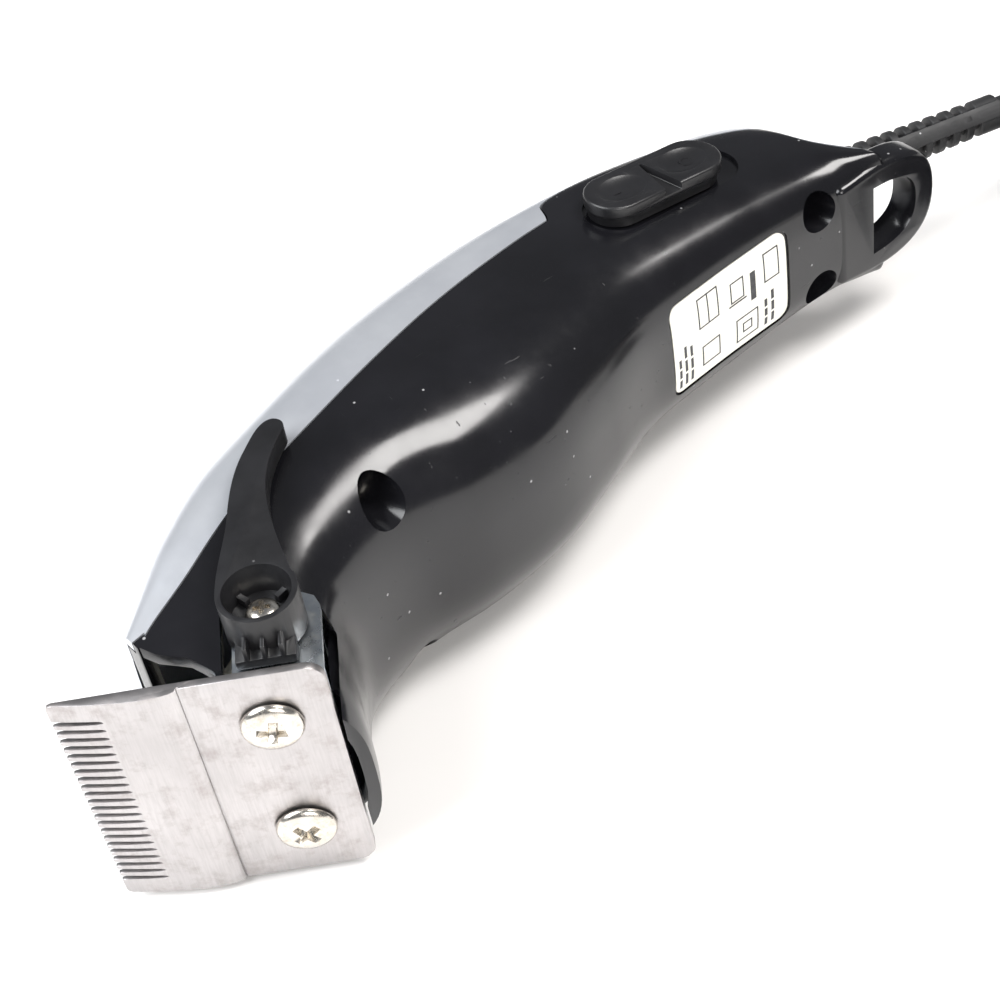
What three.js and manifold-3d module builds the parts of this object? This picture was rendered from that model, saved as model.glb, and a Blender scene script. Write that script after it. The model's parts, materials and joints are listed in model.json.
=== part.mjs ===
// Mains hair clipper with a taper lever, lying on its right-hand side.
// Millimetres. +X runs from the blade to the cord, +Y from the underside to the crown,
// and +Z is the clipper's left-hand side, so the middle plane is parallel to the table.
import * as THREE from 'three';
import * as BufferGeometryUtils from 'three/addons/utils/BufferGeometryUtils.js';
import Module from 'manifold-3d';

const wasm = await Module();
wasm.setup();

// ---- Driving dimensions ----
const gap = 0.3; // clearance between pieces that touch
const wall = 2.2; // thickness of the moulded case
const restHeight = 24.5; // middle plane above the table
const middle = [76.55, 30.03]; // middle of the clipper in its own drawing frame

const bladeAngle = THREE.MathUtils.degToRad(36); // blade plane against the case
const bladeWidth = 46;
const bladeDepth = 39.6;
const bladeStep = 20.8; // rear edge to the step
const bladePlate = 1.3; // thickness of the rear plate
const toothPitch = 1.81;
const slotCount = 22;
const slotDepth = 6.6;
const slotWidth = 0.86;
const bladeScrewX = -9.25;
const bladeScrewZ = 12.4;

const leverX = -8; // lever pivot, in the blade's frame
const leverY = 11;
const hubRadius = 6;
const hubBase = 21.1;
const hubTop = 28.6;

const frontScrew = { x: 28.6, z: 18, well: 3.8, seat: 33 };
const tailScrew = { x: 131.8, z: 8.6, well: 3.75, seat: 38 };
const postWall = 1.2;

const switchCentre = [109, 45.2];
const switchAngle = -4; // degrees, along the side of the case
const switchLean = 6.5; // degrees, as the side closes in to the tail

const swingX = 78; // armature pivot
const cordRadius = 2.5;
const coil = { x: 204.55, y: -11.47, middle: 29.5, columns: 2, rows: 4 };

// ---- Colours and finishes ----
const finish = (color, roughness, metalness = 0) =>
  new THREE.MeshStandardMaterial({ color, roughness, metalness });
const gloss = finish(0x0b0b0d, 0.18);
const silver = finish(0xc3c6cc, 0.35, 0.6);
const satin = finish(0x131315, 0.4);
const stainless = finish(0xb9b5b2, 0.32, 1);
const darkSteel = finish(0x3c3b3d, 0.4, 1);
const nickel = finish(0xd2cdc4, 0.2, 1);
const zinc = finish(0xd9dde0, 0.3, 1);
const rubber = finish(0x1b1b1d, 0.75);
const paper = finish(0xf2f0e6, 0.6);
const copper = finish(0xb06a3c, 0.4, 1);
const iron = finish(0x6b6a68, 0.5, 1);
const nylon = finish(0xe6e1d3, 0.5);
const brass = finish(0xc9a55a, 0.3, 1);

// ---- Solids ----
// A closed geometry as a solid, turned the right way out.
function solid(geometry) {
  const plain = geometry.clone();
  plain.deleteAttribute('normal');
  plain.deleteAttribute('uv');
  const merged = BufferGeometryUtils.mergeVertices(plain, 1e-4);
  const triangles = Uint32Array.from(merged.index.array);
  const mesh = new wasm.Mesh({
    numProp: 3,
    vertProperties: Float32Array.from(merged.attributes.position.array),
    triVerts: triangles,
  });
  const made = new wasm.Manifold(mesh);
  if (made.volume() > 0) return made;
  for (let i = 0; i < triangles.length; i += 3) {
    [triangles[i + 1], triangles[i + 2]] = [triangles[i + 2], triangles[i + 1]];
  }
  mesh.triVerts = triangles;
  return new wasm.Manifold(mesh);
}

const join = (first, ...rest) => rest.reduce((sum, next) => sum.add(next), first);
const cut = (first, ...rest) => rest.reduce((left, next) => left.subtract(next), first);

function geometryOf(shape) {
  const mesh = shape.getMesh();
  const geometry = new THREE.BufferGeometry();
  geometry.setAttribute('position', new THREE.BufferAttribute(mesh.vertProperties, 3));
  geometry.setIndex(new THREE.BufferAttribute(mesh.triVerts, 1));
  geometry.computeVertexNormals();
  return geometry;
}

// A box between two opposite corners.
function box(low, high) {
  const size = high.map((value, axis) => value - low[axis]);
  const geometry = new THREE.BoxGeometry(...size);
  geometry.translate(...low.map((value, axis) => value + size[axis] / 2));
  return solid(geometry);
}

const shapeOf = (points) => new THREE.Shape(points.map(([x, y]) => new THREE.Vector2(x, y)));

// A plan in X and Y carried along Z from low to high.
function prismZ(plan, low, high, curveSegments = 8) {
  const shape = Array.isArray(plan) ? shapeOf(plan) : plan;
  const settings = { depth: high - low, bevelEnabled: false, curveSegments };
  return solid(new THREE.ExtrudeGeometry(shape, settings).translate(0, 0, low));
}

// A plan in X and Z carried along Y from low to high.
function prismY(plan, low, high, curveSegments = 8) {
  const shape = Array.isArray(plan) ? shapeOf(plan) : plan;
  const settings = { depth: high - low, bevelEnabled: false, curveSegments };
  const geometry = new THREE.ExtrudeGeometry(shape, settings);
  return solid(geometry.rotateX(Math.PI / 2).translate(0, high, 0));
}

// A profile of radius and height turned about Y, or about Z.
function turned(profile, sides = 20) {
  const points = profile.map(([radius, height]) => new THREE.Vector2(radius, height));
  return new THREE.LatheGeometry(points, sides);
}
const turnedY = (profile, sides) => solid(turned(profile, sides));
const turnedZ = (profile, sides) => solid(turned(profile, sides).rotateX(Math.PI / 2));
const rodProfile = (radius, low, high) => [[0, low], [radius, low], [radius, high], [0, high]];
const rodY = (radius, x, z, low, high, sides = 20) =>
  turnedY(rodProfile(radius, low, high), sides).translate([x, 0, z]);
const rodZ = (radius, x, y, low, high, sides = 20) =>
  turnedZ(rodProfile(radius, low, high), sides).translate([x, y, 0]);

// Closed rings of equal length, joined one after another and capped at both ends.
function loft(rings) {
  const count = rings[0].length;
  const positions = rings.flat();
  const triangles = [];
  for (let ring = 0; ring + 1 < rings.length; ring++) {
    for (let i = 0; i < count; i++) {
      const a = ring * count + i;
      const b = ring * count + ((i + 1) % count);
      triangles.push(a, b, a + count, b, b + count, a + count);
    }
  }
  for (const [ring, turn] of [[0, true], [rings.length - 1, false]]) {
    const centre = new THREE.Vector3();
    rings[ring].forEach((point) => centre.addScaledVector(point, 1 / count));
    positions.push(centre);
    const hub = positions.length - 1;
    for (let i = 0; i < count; i++) {
      const a = ring * count + i;
      const b = ring * count + ((i + 1) % count);
      triangles.push(hub, ...(turn ? [b, a] : [a, b]));
    }
  }
  const geometry = new THREE.BufferGeometry().setFromPoints(positions);
  geometry.setIndex(triangles);
  return solid(geometry);
}

// A round or flat-sided bar along a curve.
function bar(curve, radiusAt, steps, sides) {
  const frames = curve.computeFrenetFrames(steps, false);
  const rings = [];
  for (let step = 0; step <= steps; step++) {
    const share = step / steps;
    const centre = curve.getPointAt(share);
    const ring = [];
    for (let i = 0; i < sides; i++) {
      const turn = (2 * Math.PI * i) / sides;
      const radius = radiusAt(share);
      ring.push(centre.clone()
        .addScaledVector(frames.normals[step], radius * Math.cos(turn))
        .addScaledVector(frames.binormals[step], radius * Math.sin(turn)));
    }
    rings.push(ring);
  }
  return loft(rings);
}

// ---- The scene graph ----
const clipper = new THREE.Group();
clipper.position.set(-middle[0], -middle[1], restHeight);
const bladeSet = new THREE.Group();
bladeSet.rotation.z = -bladeAngle;
clipper.add(bladeSet);
const bladeTurnDegrees = [0, 0, -THREE.MathUtils.radToDeg(bladeAngle)];
const inBladeFrame = (shape) => shape.rotate(bladeTurnDegrees);

function piece(name, shape, material, parent = clipper) {
  const mesh = new THREE.Mesh(geometryOf(shape), material);
  mesh.name = name;
  parent.add(mesh);
  return mesh;
}

// ---- Case: lines in the middle plane, from the nose to the tail, station by station ----
const line = (points) => new THREE.SplineCurve(points.map(([x, y]) => new THREE.Vector2(x, y)));
const bellyLine = line([
  [-4, -10], [3, -2], [8.5, 7.5], [16, 15], [30, 19], [45, 17], [60, 17.3], [75, 21.5],
  [90, 26.3], [105, 27.5], [120, 27.5], [131, 26.9], [137, 26.3], [142, 25.7], [147, 25],
]);
const widestLine = line([
  [-17, 26], [-9, 30.2], [1, 34.8], [13, 38.9], [30, 43.2], [45, 47.2], [60, 50.8], [75, 53.4],
  [90, 55.2], [105, 54.8], [120, 51], [131, 46.5], [137.5, 41.5], [141, 34.5], [146, 28],
]);
const crownLine = line([
  [-18, 30], [-11, 36.5], [-2, 44.2], [11, 51.5], [30, 57.3], [45, 61.1], [60, 62.6], [75, 63.4],
  [90, 62.5], [105, 61.4], [120, 60.6], [132, 59.4], [138.5, 55], [141.8, 43], [147.5, 30.2],
]);
const halfWidths = line([
  [0, 20], [1, 21.2], [2, 22.8], [3, 24.1], [4, 24.5], [5, 24.2], [6, 23.4], [7, 22.2],
  [8, 20.6], [9, 19], [10, 17.4], [11, 16], [12, 15.2], [13, 14.6], [14, 13.6],
]);
const crownSquareness = 2.5;
// the underside grows squarer towards the tail, where the label lies on it
const bellySquareness = (share) => 3 + THREE.MathUtils.smoothstep(share, 0.5, 0.7);

// One section of the case: two half ovals that meet at the widest line.
function caseRing(share, inset, count, shift = [0, 0]) {
  const widest = widestLine.getPoint(share);
  const halfWidth = halfWidths.getPoint(share).y - inset;
  const ring = [];
  for (let i = 0; i < count; i++) {
    const turn = (2 * Math.PI * i) / count;
    const rise = Math.sin(turn);
    const side = Math.cos(turn);
    const squareness = rise > 0 ? crownSquareness : bellySquareness(share);
    const edge = (rise > 0 ? crownLine : bellyLine).getPoint(share).sub(widest);
    const reach = Math.max(1 - inset / edge.length(), 0.1) * Math.abs(rise) ** (2 / squareness);
    const point = widest.clone().addScaledVector(edge, reach);
    const z = halfWidth * Math.sign(side) * Math.abs(side) ** (2 / squareness);
    ring.push(new THREE.Vector3(point.x + shift[0], point.y + shift[1], z));
  }
  return ring;
}

function caseRings(inset, to, sections, count) {
  const rings = [];
  for (let i = 0; i <= sections; i++) rings.push(caseRing((to * i) / sections, inset, count));
  return rings;
}

const caseOutside = loft(caseRings(0, 1, 28, 32));
const cavityEnd = 0.9; // share of the stations that is hollow
const cavityMouth = caseRing(0, wall, 24, [-6, -2]);
const caseCavity = loft([cavityMouth, ...caseRings(wall, cavityEnd, 20, 24)]);
const caseShell = cut(caseOutside, caseCavity);

// The cover sits on this line, which rises around the switch and drops down the tail.
const coverDepth = 3.7; // how far the cover comes down below the widest line
const tailNotchLine = [
  [91.2, 53], [92.4, 56.6], [104, 56.9], [114, 55.6], [126, 52.6], [134, 49.4], [139, 46],
  [138.6, 42.4], [141.6, 34], [147, 27.4], [160, 22],
];
function aboveCoverLine(drop) {
  const points = [[-40, 14 - coverDepth - drop]];
  const notchStart = 8 / 14;
  for (let i = 0; i <= 16; i++) {
    const point = widestLine.getPoint((notchStart * i) / 16);
    const depth = coverDepth - 1.8 * (1 - THREE.MathUtils.smoothstep(point.x, -15, 0));
    points.push([point.x, point.y - depth - drop]);
  }
  // the first two points climb, so their gap opens the other way
  points.push(...tailNotchLine.map(([x, y], i) => [i < 2 ? x + drop : x - drop, y - drop]));
  points.push([160, 90], [-40, 90]);
  return prismZ(points, -40, 40);
}

// The mouth: the nose is cut off square, and the side walls stop above the blade.
const mouth = prismZ([
  [-40, 80], [-15.3, 80], [-15.3, 26], [-14.1, 22.3], [-11.2, 18], [-10.1, 13.4], [3.4, 3.3],
  [-0.3, -1.8], [3.1, -4.2], [3.1, -20], [-40, -20],
], -40, 40);
const leverNotch = inBladeFrame(prismZ([
  [-15, -6], [0.9, -6], [0.9, 14], [-1.5, 18], [-13, 18], [-15, 15],
], 12, 40));

// Round screw wells and their posts, moulded into the case.
const screwPlaces = [
  { ...frontScrew, side: 1 }, { ...frontScrew, side: -1 },
  { ...tailScrew, side: 1 }, { ...tailScrew, side: -1 },
];
const wellPosts = screwPlaces.map(({ x, z, well, seat, side }) =>
  rodY(well + postWall, x, z * side, 10, seat + 2).intersect(caseOutside));
const wellHoles = screwPlaces.map(({ x, z, well, seat, side }) =>
  join(rodY(well, x, z * side, 10, seat), rodY(1.8, x, z * side, seat - 1, seat + 4, 12)));

// The hanging loop, a flat D with its hole, leaning down towards its end.
const loopEnd = 159.8;
const loopHalfWidth = 11.8;
const loopHole = { front: 144.2, back: 154.7, halfWidth: 7.5 };
function loopPlan() {
  const plan = new THREE.Shape();
  plan.moveTo(136, -11);
  plan.bezierCurveTo(140, -11, 142, -loopHalfWidth, 146, -loopHalfWidth);
  plan.bezierCurveTo(155, -loopHalfWidth, loopEnd, -8, loopEnd, 0);
  plan.bezierCurveTo(loopEnd, 8, 155, loopHalfWidth, 146, loopHalfWidth);
  plan.bezierCurveTo(142, loopHalfWidth, 140, 11, 136, 11);
  plan.closePath();
  return plan;
}
function loopHolePlan() {
  const { front, back, halfWidth } = loopHole;
  const plan = new THREE.Shape();
  plan.moveTo(front, -halfWidth);
  plan.bezierCurveTo(back - 2, -halfWidth, back, -halfWidth * 0.6, back, 0);
  plan.bezierCurveTo(back, halfWidth * 0.6, back - 2, halfWidth, front, halfWidth);
  plan.closePath();
  return plan;
}
const loopTop = 31.2;
function loopBlank() {
  const settings = {
    depth: 2.6, steps: 1, curveSegments: 5,
    bevelEnabled: true, bevelThickness: 1.7, bevelSize: 1.6, bevelOffset: -1.6, bevelSegments: 2,
  };
  const geometry = new THREE.ExtrudeGeometry(loopPlan(), settings);
  return solid(geometry.rotateX(Math.PI / 2).translate(0, loopTop - 1.7, 0));
}
const loopLean = -5.5; // degrees
const leaned = (shape) =>
  shape.translate([-146, -26, 0]).rotate([0, 0, loopLean]).translate([146, 26, 0]);

const hangingHole = leaned(prismY(loopHolePlan(), 15, 34.5, 5));

// The left side is let in around the switch, and slotted for its stem.
const inSwitchFrame = (shape) =>
  shape.rotate([0, switchLean, 0]).rotate([0, 0, switchAngle]).translate([...switchCentre, 18.4]);
function stadium(halfLength, halfWidth, shift = 0) {
  const plan = new THREE.Shape();
  const run = halfLength - halfWidth;
  plan.absarc(run + shift, 0, halfWidth, -Math.PI / 2, Math.PI / 2);
  plan.absarc(-run + shift, 0, halfWidth, Math.PI / 2, (3 * Math.PI) / 2);
  plan.closePath();
  return plan;
}
const switchRecess = inSwitchFrame(prismZ(stadium(16.2, 5.9, 1.9), -0.8, 12, 6));
const stemSlot = [[-5, -2.3], [9.5, -2.3], [9.5, 2.3], [-5, 2.3]];
const switchSlot = inSwitchFrame(prismZ(stemSlot, -8, 2));

// The label is let into the underside.
const label = { from: 94.5, to: 123.4, halfWidth: 9.8, face: 27.9, thick: 0.35 };
const labelRecess = box(
  [label.from - 0.4, 20, -label.halfWidth - 0.4],
  [label.to + 0.4, label.face + label.thick + gap, label.halfWidth + 0.4],
);

const cordExit = [144.6, 42.4];
const cordFall = -17; // degrees below the case's long axis
const alongCord = (shape) => shape.rotate([0, 90, 0]).rotate([0, 0, cordFall]).translate([...cordExit, 0]);
const cordHole = alongCord(join(rodZ(3.9, 0, 0, -14, 12, 16), rodZ(4.7, 0, 0, -0.8, 12, 16)));

const powerScrewPlace = [52, 36];
const powerScrewHole = rodZ(4.4, ...powerScrewPlace, -30, -15);

function lowerCase() {
  const shell = cut(caseShell, aboveCoverLine(0), mouth, leverNotch);
  const loop = cut(leaned(loopBlank()), caseCavity);
  const noseBar = join(
    box([-15.3, 25.2, -22], [-13.3, 26.5, 22]).intersect(caseOutside),
    box([-15.3, 26, -18], [-13.3, 28.6, 18]),
  );
  const shape = join(shell, loop, noseBar, ...wellPosts);
  const holes = [hangingHole, ...wellHoles, switchRecess, switchSlot, labelRecess, cordHole, powerScrewHole];
  return cut(shape, ...holes);
}
function topCover() {
  const nose = join(box([-16, 24, -18.4], [-13, 28.9, 18.4]), box([-16, 24, -24], [-13, 26.8, 24]));
  const loopRoot = leaned(loopBlank()).translate([0, gap, 0]);
  const upper = caseShell.intersect(aboveCoverLine(-gap));
  const shell = cut(upper, mouth, nose, switchRecess, cordHole, loopRoot, hangingHole);
  const posts = screwPlaces.map(({ x, z, seat, side }) =>
    rodY(3.4, x, z * side, seat + 2 + gap, 70).intersect(caseOutside));
  const bores = screwPlaces.map(({ x, z, seat, side }) => rodY(1.8, x, z * side, seat, seat + 13, 12));
  return cut(join(shell, ...posts), ...bores);
}
piece('lower_case', lowerCase(), gloss);
piece('top_cover', topCover(), silver);
piece('rating_label', box([label.from, label.face, -label.halfWidth],
  [label.to, label.face + label.thick, label.halfWidth]), paper);

// ---- Screws: a pan head with a cross recess over its shank, head at the low end ----
function screwProfile(headRadius, headHeight, shankRadius, length) {
  return [
    [0, 0], [headRadius * 0.75, 0], [headRadius, headHeight * 0.45], [headRadius, headHeight],
    [shankRadius, headHeight], [shankRadius, headHeight + length], [0, headHeight + length],
  ];
}
function screw(headRadius, headHeight, shankRadius, length, sides = 16) {
  const arm = headRadius * 0.5;
  const half = headRadius * 0.11;
  const cross = join(
    box([-arm, -1, -half], [arm, headHeight * 0.6, half]),
    box([-half, -1, -arm], [half, headHeight * 0.6, arm]),
  );
  return cut(turnedY(screwProfile(headRadius, headHeight, shankRadius, length), sides), cross);
}
const headUpZ = (shape, x, y, z) => shape.rotate([-90, 0, 0]).translate([x, y, z]);
screwPlaces.forEach(({ x, z, seat, side }, index) => {
  const head = 1.7;
  piece(`case_screw_${index + 1}`,
    screw(2.9, head, 1.5, 13).translate([x, seat - gap - head, z * side]), nickel);
});

// ---- Blade set, drawn in the blade's own frame ----
// Plan of a toothed plate: teeth at low X, corners rounded at the back.
function combPlan({ front, back, halfWidth, count, pitch, slot, depth, corner }) {
  const plan = new THREE.Shape();
  const first = (-(count - 1) / 2) * pitch;
  plan.moveTo(front, -halfWidth + 1.5);
  for (let i = 0; i < count; i++) {
    const z = first + i * pitch;
    plan.lineTo(front, z - slot * 0.62);
    plan.lineTo(front + depth, z - slot * 0.38);
    plan.lineTo(front + depth, z + slot * 0.38);
    plan.lineTo(front, z + slot * 0.62);
  }
  plan.lineTo(front, halfWidth - 1.5);
  plan.lineTo(front + 1.5, halfWidth);
  plan.lineTo(back - corner, halfWidth);
  plan.absarc(back - corner, halfWidth - corner, corner, Math.PI / 2, 0, true);
  plan.absarc(back - corner, -halfWidth + corner, corner, 0, -Math.PI / 2, true);
  plan.lineTo(front + 1.5, -halfWidth);
  plan.closePath();
  return plan;
}
const bladeSides = [-1, 1];
function fixedBlade() {
  const side = new THREE.Shape();
  side.moveTo(0, 0);
  side.lineTo(0, bladePlate);
  side.lineTo(-bladeDepth, bladePlate);
  side.lineTo(-bladeDepth, bladePlate - 0.7);
  side.quadraticCurveTo(-33, -0.6, -27.5, -0.95);
  side.quadraticCurveTo(-23, -1.05, -bladeStep, -0.25);
  side.lineTo(-bladeStep, 0);
  side.closePath();
  const halfWidth = bladeWidth / 2;
  const plan = combPlan({
    front: -bladeDepth, back: 0, halfWidth, count: slotCount, pitch: toothPitch,
    slot: slotWidth, depth: slotDepth, corner: 3,
  });
  const plate = prismZ(side, -halfWidth, halfWidth, 5).intersect(prismY(plan, -3, 4, 4));
  const holes = bladeSides.map((sign) => rodY(2.3, bladeScrewX, sign * bladeScrewZ, -3, 4, 12));
  return cut(plate, ...holes);
}
piece('fixed_blade', fixedBlade(), stainless, bladeSet);

const cutter = { front: -38.2, back: -21.2, low: bladePlate + gap, high: 3.6, halfWidth: 19.4 };
const movingPlan = combPlan({
  front: cutter.front, back: cutter.back, halfWidth: cutter.halfWidth, count: slotCount - 2,
  pitch: toothPitch, slot: 0.9, depth: 5.4, corner: 1,
});
piece('moving_blade', prismY(movingPlan, cutter.low, cutter.high, 3), darkSteel, bladeSet);
const driveBlock = cut(
  box([-28, cutter.high + gap, -6.4], [-19.3, 6.9, 6.4]),
  box([-26.9, cutter.high, -1.7], [-20.1, 8, 1.7]),
);
piece('drive_block', driveBlock, satin, bladeSet);

for (const [name, sign] of [['blade_screw_left', 1], ['blade_screw_right', -1]]) {
  const head = 1.7;
  const shape = screw(4.7, head, 1.9, 3.1, 24).translate([bladeScrewX, -gap - head, sign * bladeScrewZ]);
  piece(name, shape, nickel, bladeSet);
}

// The frame: one bent sheet that carries the blade, the lever and, inside the case, the motor.
const sheet = 1.6;
const trayTop = 29.8; // top of the frame's tray under the motor
const frameFloor = [bladePlate + gap, bladePlate + gap + sheet];
function motorFrame() {
  const floor = box([-18.6, frameFloor[0], -18.4], [-0.3, frameFloor[1], 20.6]);
  const ear = prismZ([[-13.3, 1.6], [-0.3, 1.6], [-0.3, 14], [-3, 17], [-13.3, 17]], 19, 20.6);
  const web = box([-3.4, frameFloor[0], -11.5], [-1.8, 17, 11.5]);
  const holes = bladeSides.map((sign) => rodY(2.2, bladeScrewX, sign * bladeScrewZ, 0, 4, 12));
  const front = inBladeFrame(cut(join(floor, ear, web), ...holes, rodZ(1.8, leverX, leverY, 15, 25, 12)));
  const rise = prismZ([
    [6.6, 15.2], [8.6, 14.6], [23, trayTop - 1.4], [82, trayTop - 1.4], [82, trayTop], [22.4, trayTop],
  ], -11.5, 11.5);
  return join(front, rise);
}
piece('motor_frame', motorFrame(), zinc);

// The slide that the lever pushes: it carries the cutter to and fro, and presses it down.
const slideLow = cutter.high + gap;
const taperPlan = [
  [-29, 8.5], [-29, 12], [-21, 12], [-19, 16.5], [-3.8, 16.5], [-3.8, 12.6], [-6.5, 12.6],
  [-6.5, -14], [-19, -14], [-21, -12], [-29, -12], [-29, -8.5],
  [-17.6, -8.5], [-17.6, 8.5],
];
const taperTab = box([-4.8, slideLow, 13.2], [-3.8, 12, 16.4]);
piece('taper_slide', join(prismY(taperPlan, slideLow, slideLow + 1), taperTab), zinc, bladeSet);

// ---- Taper lever, its screw and the cam behind the frame's ear ----
const armTip = [-4.9, 46.6];
function leverPlan() {
  const plan = new THREE.Shape();
  plan.moveTo(leverX - hubRadius, leverY);
  plan.bezierCurveTo(-14, 16.5, -12.6, 21, -12.2, 26);
  plan.bezierCurveTo(-11.9, 31, -11.4, 36, -9.4, 40.5);
  plan.bezierCurveTo(-8.2, 43.5, -7, armTip[1] + 0.1, armTip[0], armTip[1]);
  plan.bezierCurveTo(-3.4, 46.2, -2.9, 45, -3.6, 43.6);
  plan.bezierCurveTo(-5, 40.4, -6.4, 36.5, -6.3, 31.5);
  plan.bezierCurveTo(-6.2, 26, -4.4, 19, leverX + hubRadius, leverY);
  plan.absarc(leverX, leverY, hubRadius, 0, -Math.PI, true);
  plan.closePath();
  return plan;
}
function taperLever() {
  const arm = prismZ(leverPlan(), 25.1, hubTop, 6);
  const hub = rodZ(hubRadius, leverX, leverY, hubBase, hubTop, 24);
  return cut(join(arm, hub), rodZ(4.8, leverX, leverY, 23.3, 40, 20), rodZ(1.8, leverX, leverY, 15, 40, 12));
}
piece('taper_lever', taperLever(), satin, bladeSet);
piece('lever_screw', headUpZ(screw(2.6, 1.5, 1.5, 6.4), leverX, leverY, 25.1), nickel, bladeSet);
const leverCam = cut(rodZ(3.6, leverX - 0.9, leverY, 16.4, 18.6, 16), rodZ(1.8, leverX, leverY, 10, 22, 12));
piece('lever_cam', leverCam, brass, bladeSet);

// ---- Vibrating motor: a laminated core with its coil, and the armature that it pulls ----
const motor = { front: 40, back: 72, low: 30.4, high: 44 };
const legs = [[40, 45], [51.5, 60.5], [67, 72]];
const core = join(
  box([motor.front, motor.low, -16.2], [motor.back, motor.high, -10.5]),
  ...legs.map(([from, to]) => box([from, motor.low, -11], [to, motor.high, 1])),
);
const coreBores = [42.5, 69.5].map((x) => rodY(1.8, x, -8, 20, 50, 12));
piece('motor_core', cut(core, ...coreBores), iron);
const bobbinHollow = box([51.2, 30.1, -20], [60.8, 44.3, 10]);
const bobbin = cut(join(
  box([50.4, 30.1, -10.2], [61.6, 45.1, 0.6]),
  box([45.4, 30.1, -10.2], [66.6, 48.1, -9.2]),
  box([45.4, 30.1, -0.4], [66.6, 48.1, 0.6]),
), bobbinHollow);
piece('coil_bobbin', bobbin, nylon);
const winding = cut(box([46, 30.2, -8.9], [66, 47.6, -0.7]), box([50.1, 29, -11], [61.9, 45.4, 0]));
piece('coil_winding', winding, copper);
[42.5, 69.5].forEach((x, index) => {
  const head = 2;
  const shape = screw(3, head, 1.5, 14).rotate([180, 0, 0]).translate([x, motor.high + gap + head, -8]);
  piece(`core_screw_${index + 1}`, shape, nickel);
});
const armaturePlan = [
  [36, 3.2], [swingX + 3, 3.2], [swingX + 3, 10.4], [70, 10.4], [66, 8.6], [36, 8.6],
];
const armature = cut(prismY(armaturePlan, 31.8, 42), rodY(2.4, swingX, 6.8, 20, 50, 16));
piece('armature', armature, iron);
const pivotPin = turnedY([
  [0, trayTop + gap], [4, trayTop + gap], [4, 31.3], [2.05, 31.3], [2.05, 43.4], [0, 43.4],
], 16).translate([swingX, 0, 6.8]);
piece('pivot_post', pivotPin, nickel);
function driveArm() {
  const plan = [
    [35.6, 41], [35.6, 32], [20, 31.5], [3, 23.6], [-9.4, 20.2], [-12.4, 22.6], [2, 29.4], [14, 37],
  ];
  const arm = prismZ(plan, -3, 6.9);
  const clear = box([-20, 10, -8], [20, 45, -3.2]);
  const tip = inBladeFrame(box([-24.2, 4.4, -1.3], [-21.8, 13, 1.3]));
  const narrow = box([-20, 10, 3], [12, 45, 9]);
  return join(cut(arm, clear, narrow), tip);
}
piece('drive_arm', driveArm(), nylon);
const springPlan = [[18.6, 9.6], [35, 9.6], [35, 10.2], [19.2, 10.2], [19.2, 15], [18.6, 15]];
piece('armature_spring', prismY(springPlan, 32.4, 38.6), stainless);
const springPost = join(
  box([19.7, 30.5, 10.7], [24, 40, 14.6]), box([23, trayTop + gap, 8.6], [27, 31.5, 11.3]));
piece('spring_post', springPost, satin);
const powerScrewSlot = box([47, 35.4, -24], [57, 36.6, -22]);
const powerScrew = cut(rodZ(3.9, ...powerScrewPlace, -23, -20.4, 20), powerScrewSlot);
piece('power_screw', powerScrew, brass);

// ---- Switch ----
const button = cut(
  join(prismZ(stadium(13.5, 5.2), -0.4, 3.8, 8), prismZ([[-2.5, -1.9], [3, -1.9], [3, 1.9], [-2.5, 1.9]], -6, 0)),
  prismZ([[-1.7, -2.6], [1.7, -2.6], [1.2, 3.6], [-0.6, 3.6]], 2.6, 6),
);
piece('switch_button', inSwitchFrame(button), satin);
piece('switch_body', inSwitchFrame(box([-9, -5, -12.5], [11, 5, -6.4])), nylon);

// ---- Strain relief and what holds it inside the tail ----
const reliefEnd = new THREE.Vector3(184, 30, 0);
function strainRelief() {
  const taper = (share) => 4.3 - 0.9 * Math.min(1, share * 1.1);
  const start = new THREE.Vector3(...cordExit, 0);
  const path = new THREE.QuadraticBezierCurve3(start, new THREE.Vector3(163, 36.8, 0), reliefEnd);
  const sleeve = bar(path, taper, 8, 12);
  const neck = alongCord(rodZ(3.4, 0, 0, -9, 1, 12));
  const flange = alongCord(rodZ(4.4, 0, 0, -10.4, -8.6, 12));
  return join(sleeve, neck, flange);
}
piece('strain_relief', strainRelief(), rubber);

const clampBar = cut(box([117, 30.4, -5.4], [122, 33.4, 3.2]), box([115, 29, -1.2], [124, 31.2, 1.2]));
piece('cord_clamp', clampBar, nylon);
const wirePath = (points) => new THREE.CatmullRomCurve3(points.map((p) => new THREE.Vector3(...p)));
const switchLead = wirePath([[133.2, 45.6, 1.4], [128, 43.6, 2], [122, 43.4, 3], [116, 43, 3.6]]);
const coilLead = wirePath([[133.2, 45.6, -1.4], [120, 43, -5], [100, 46.6, -8], [82, 50, -9], [68.3, 47.5, -6]]);
piece('lead_wire_switch', bar(switchLead, () => 0.9, 8, 8), copper);
piece('lead_wire_coil', bar(coilLead, () => 0.9, 14, 8), paper);

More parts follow.
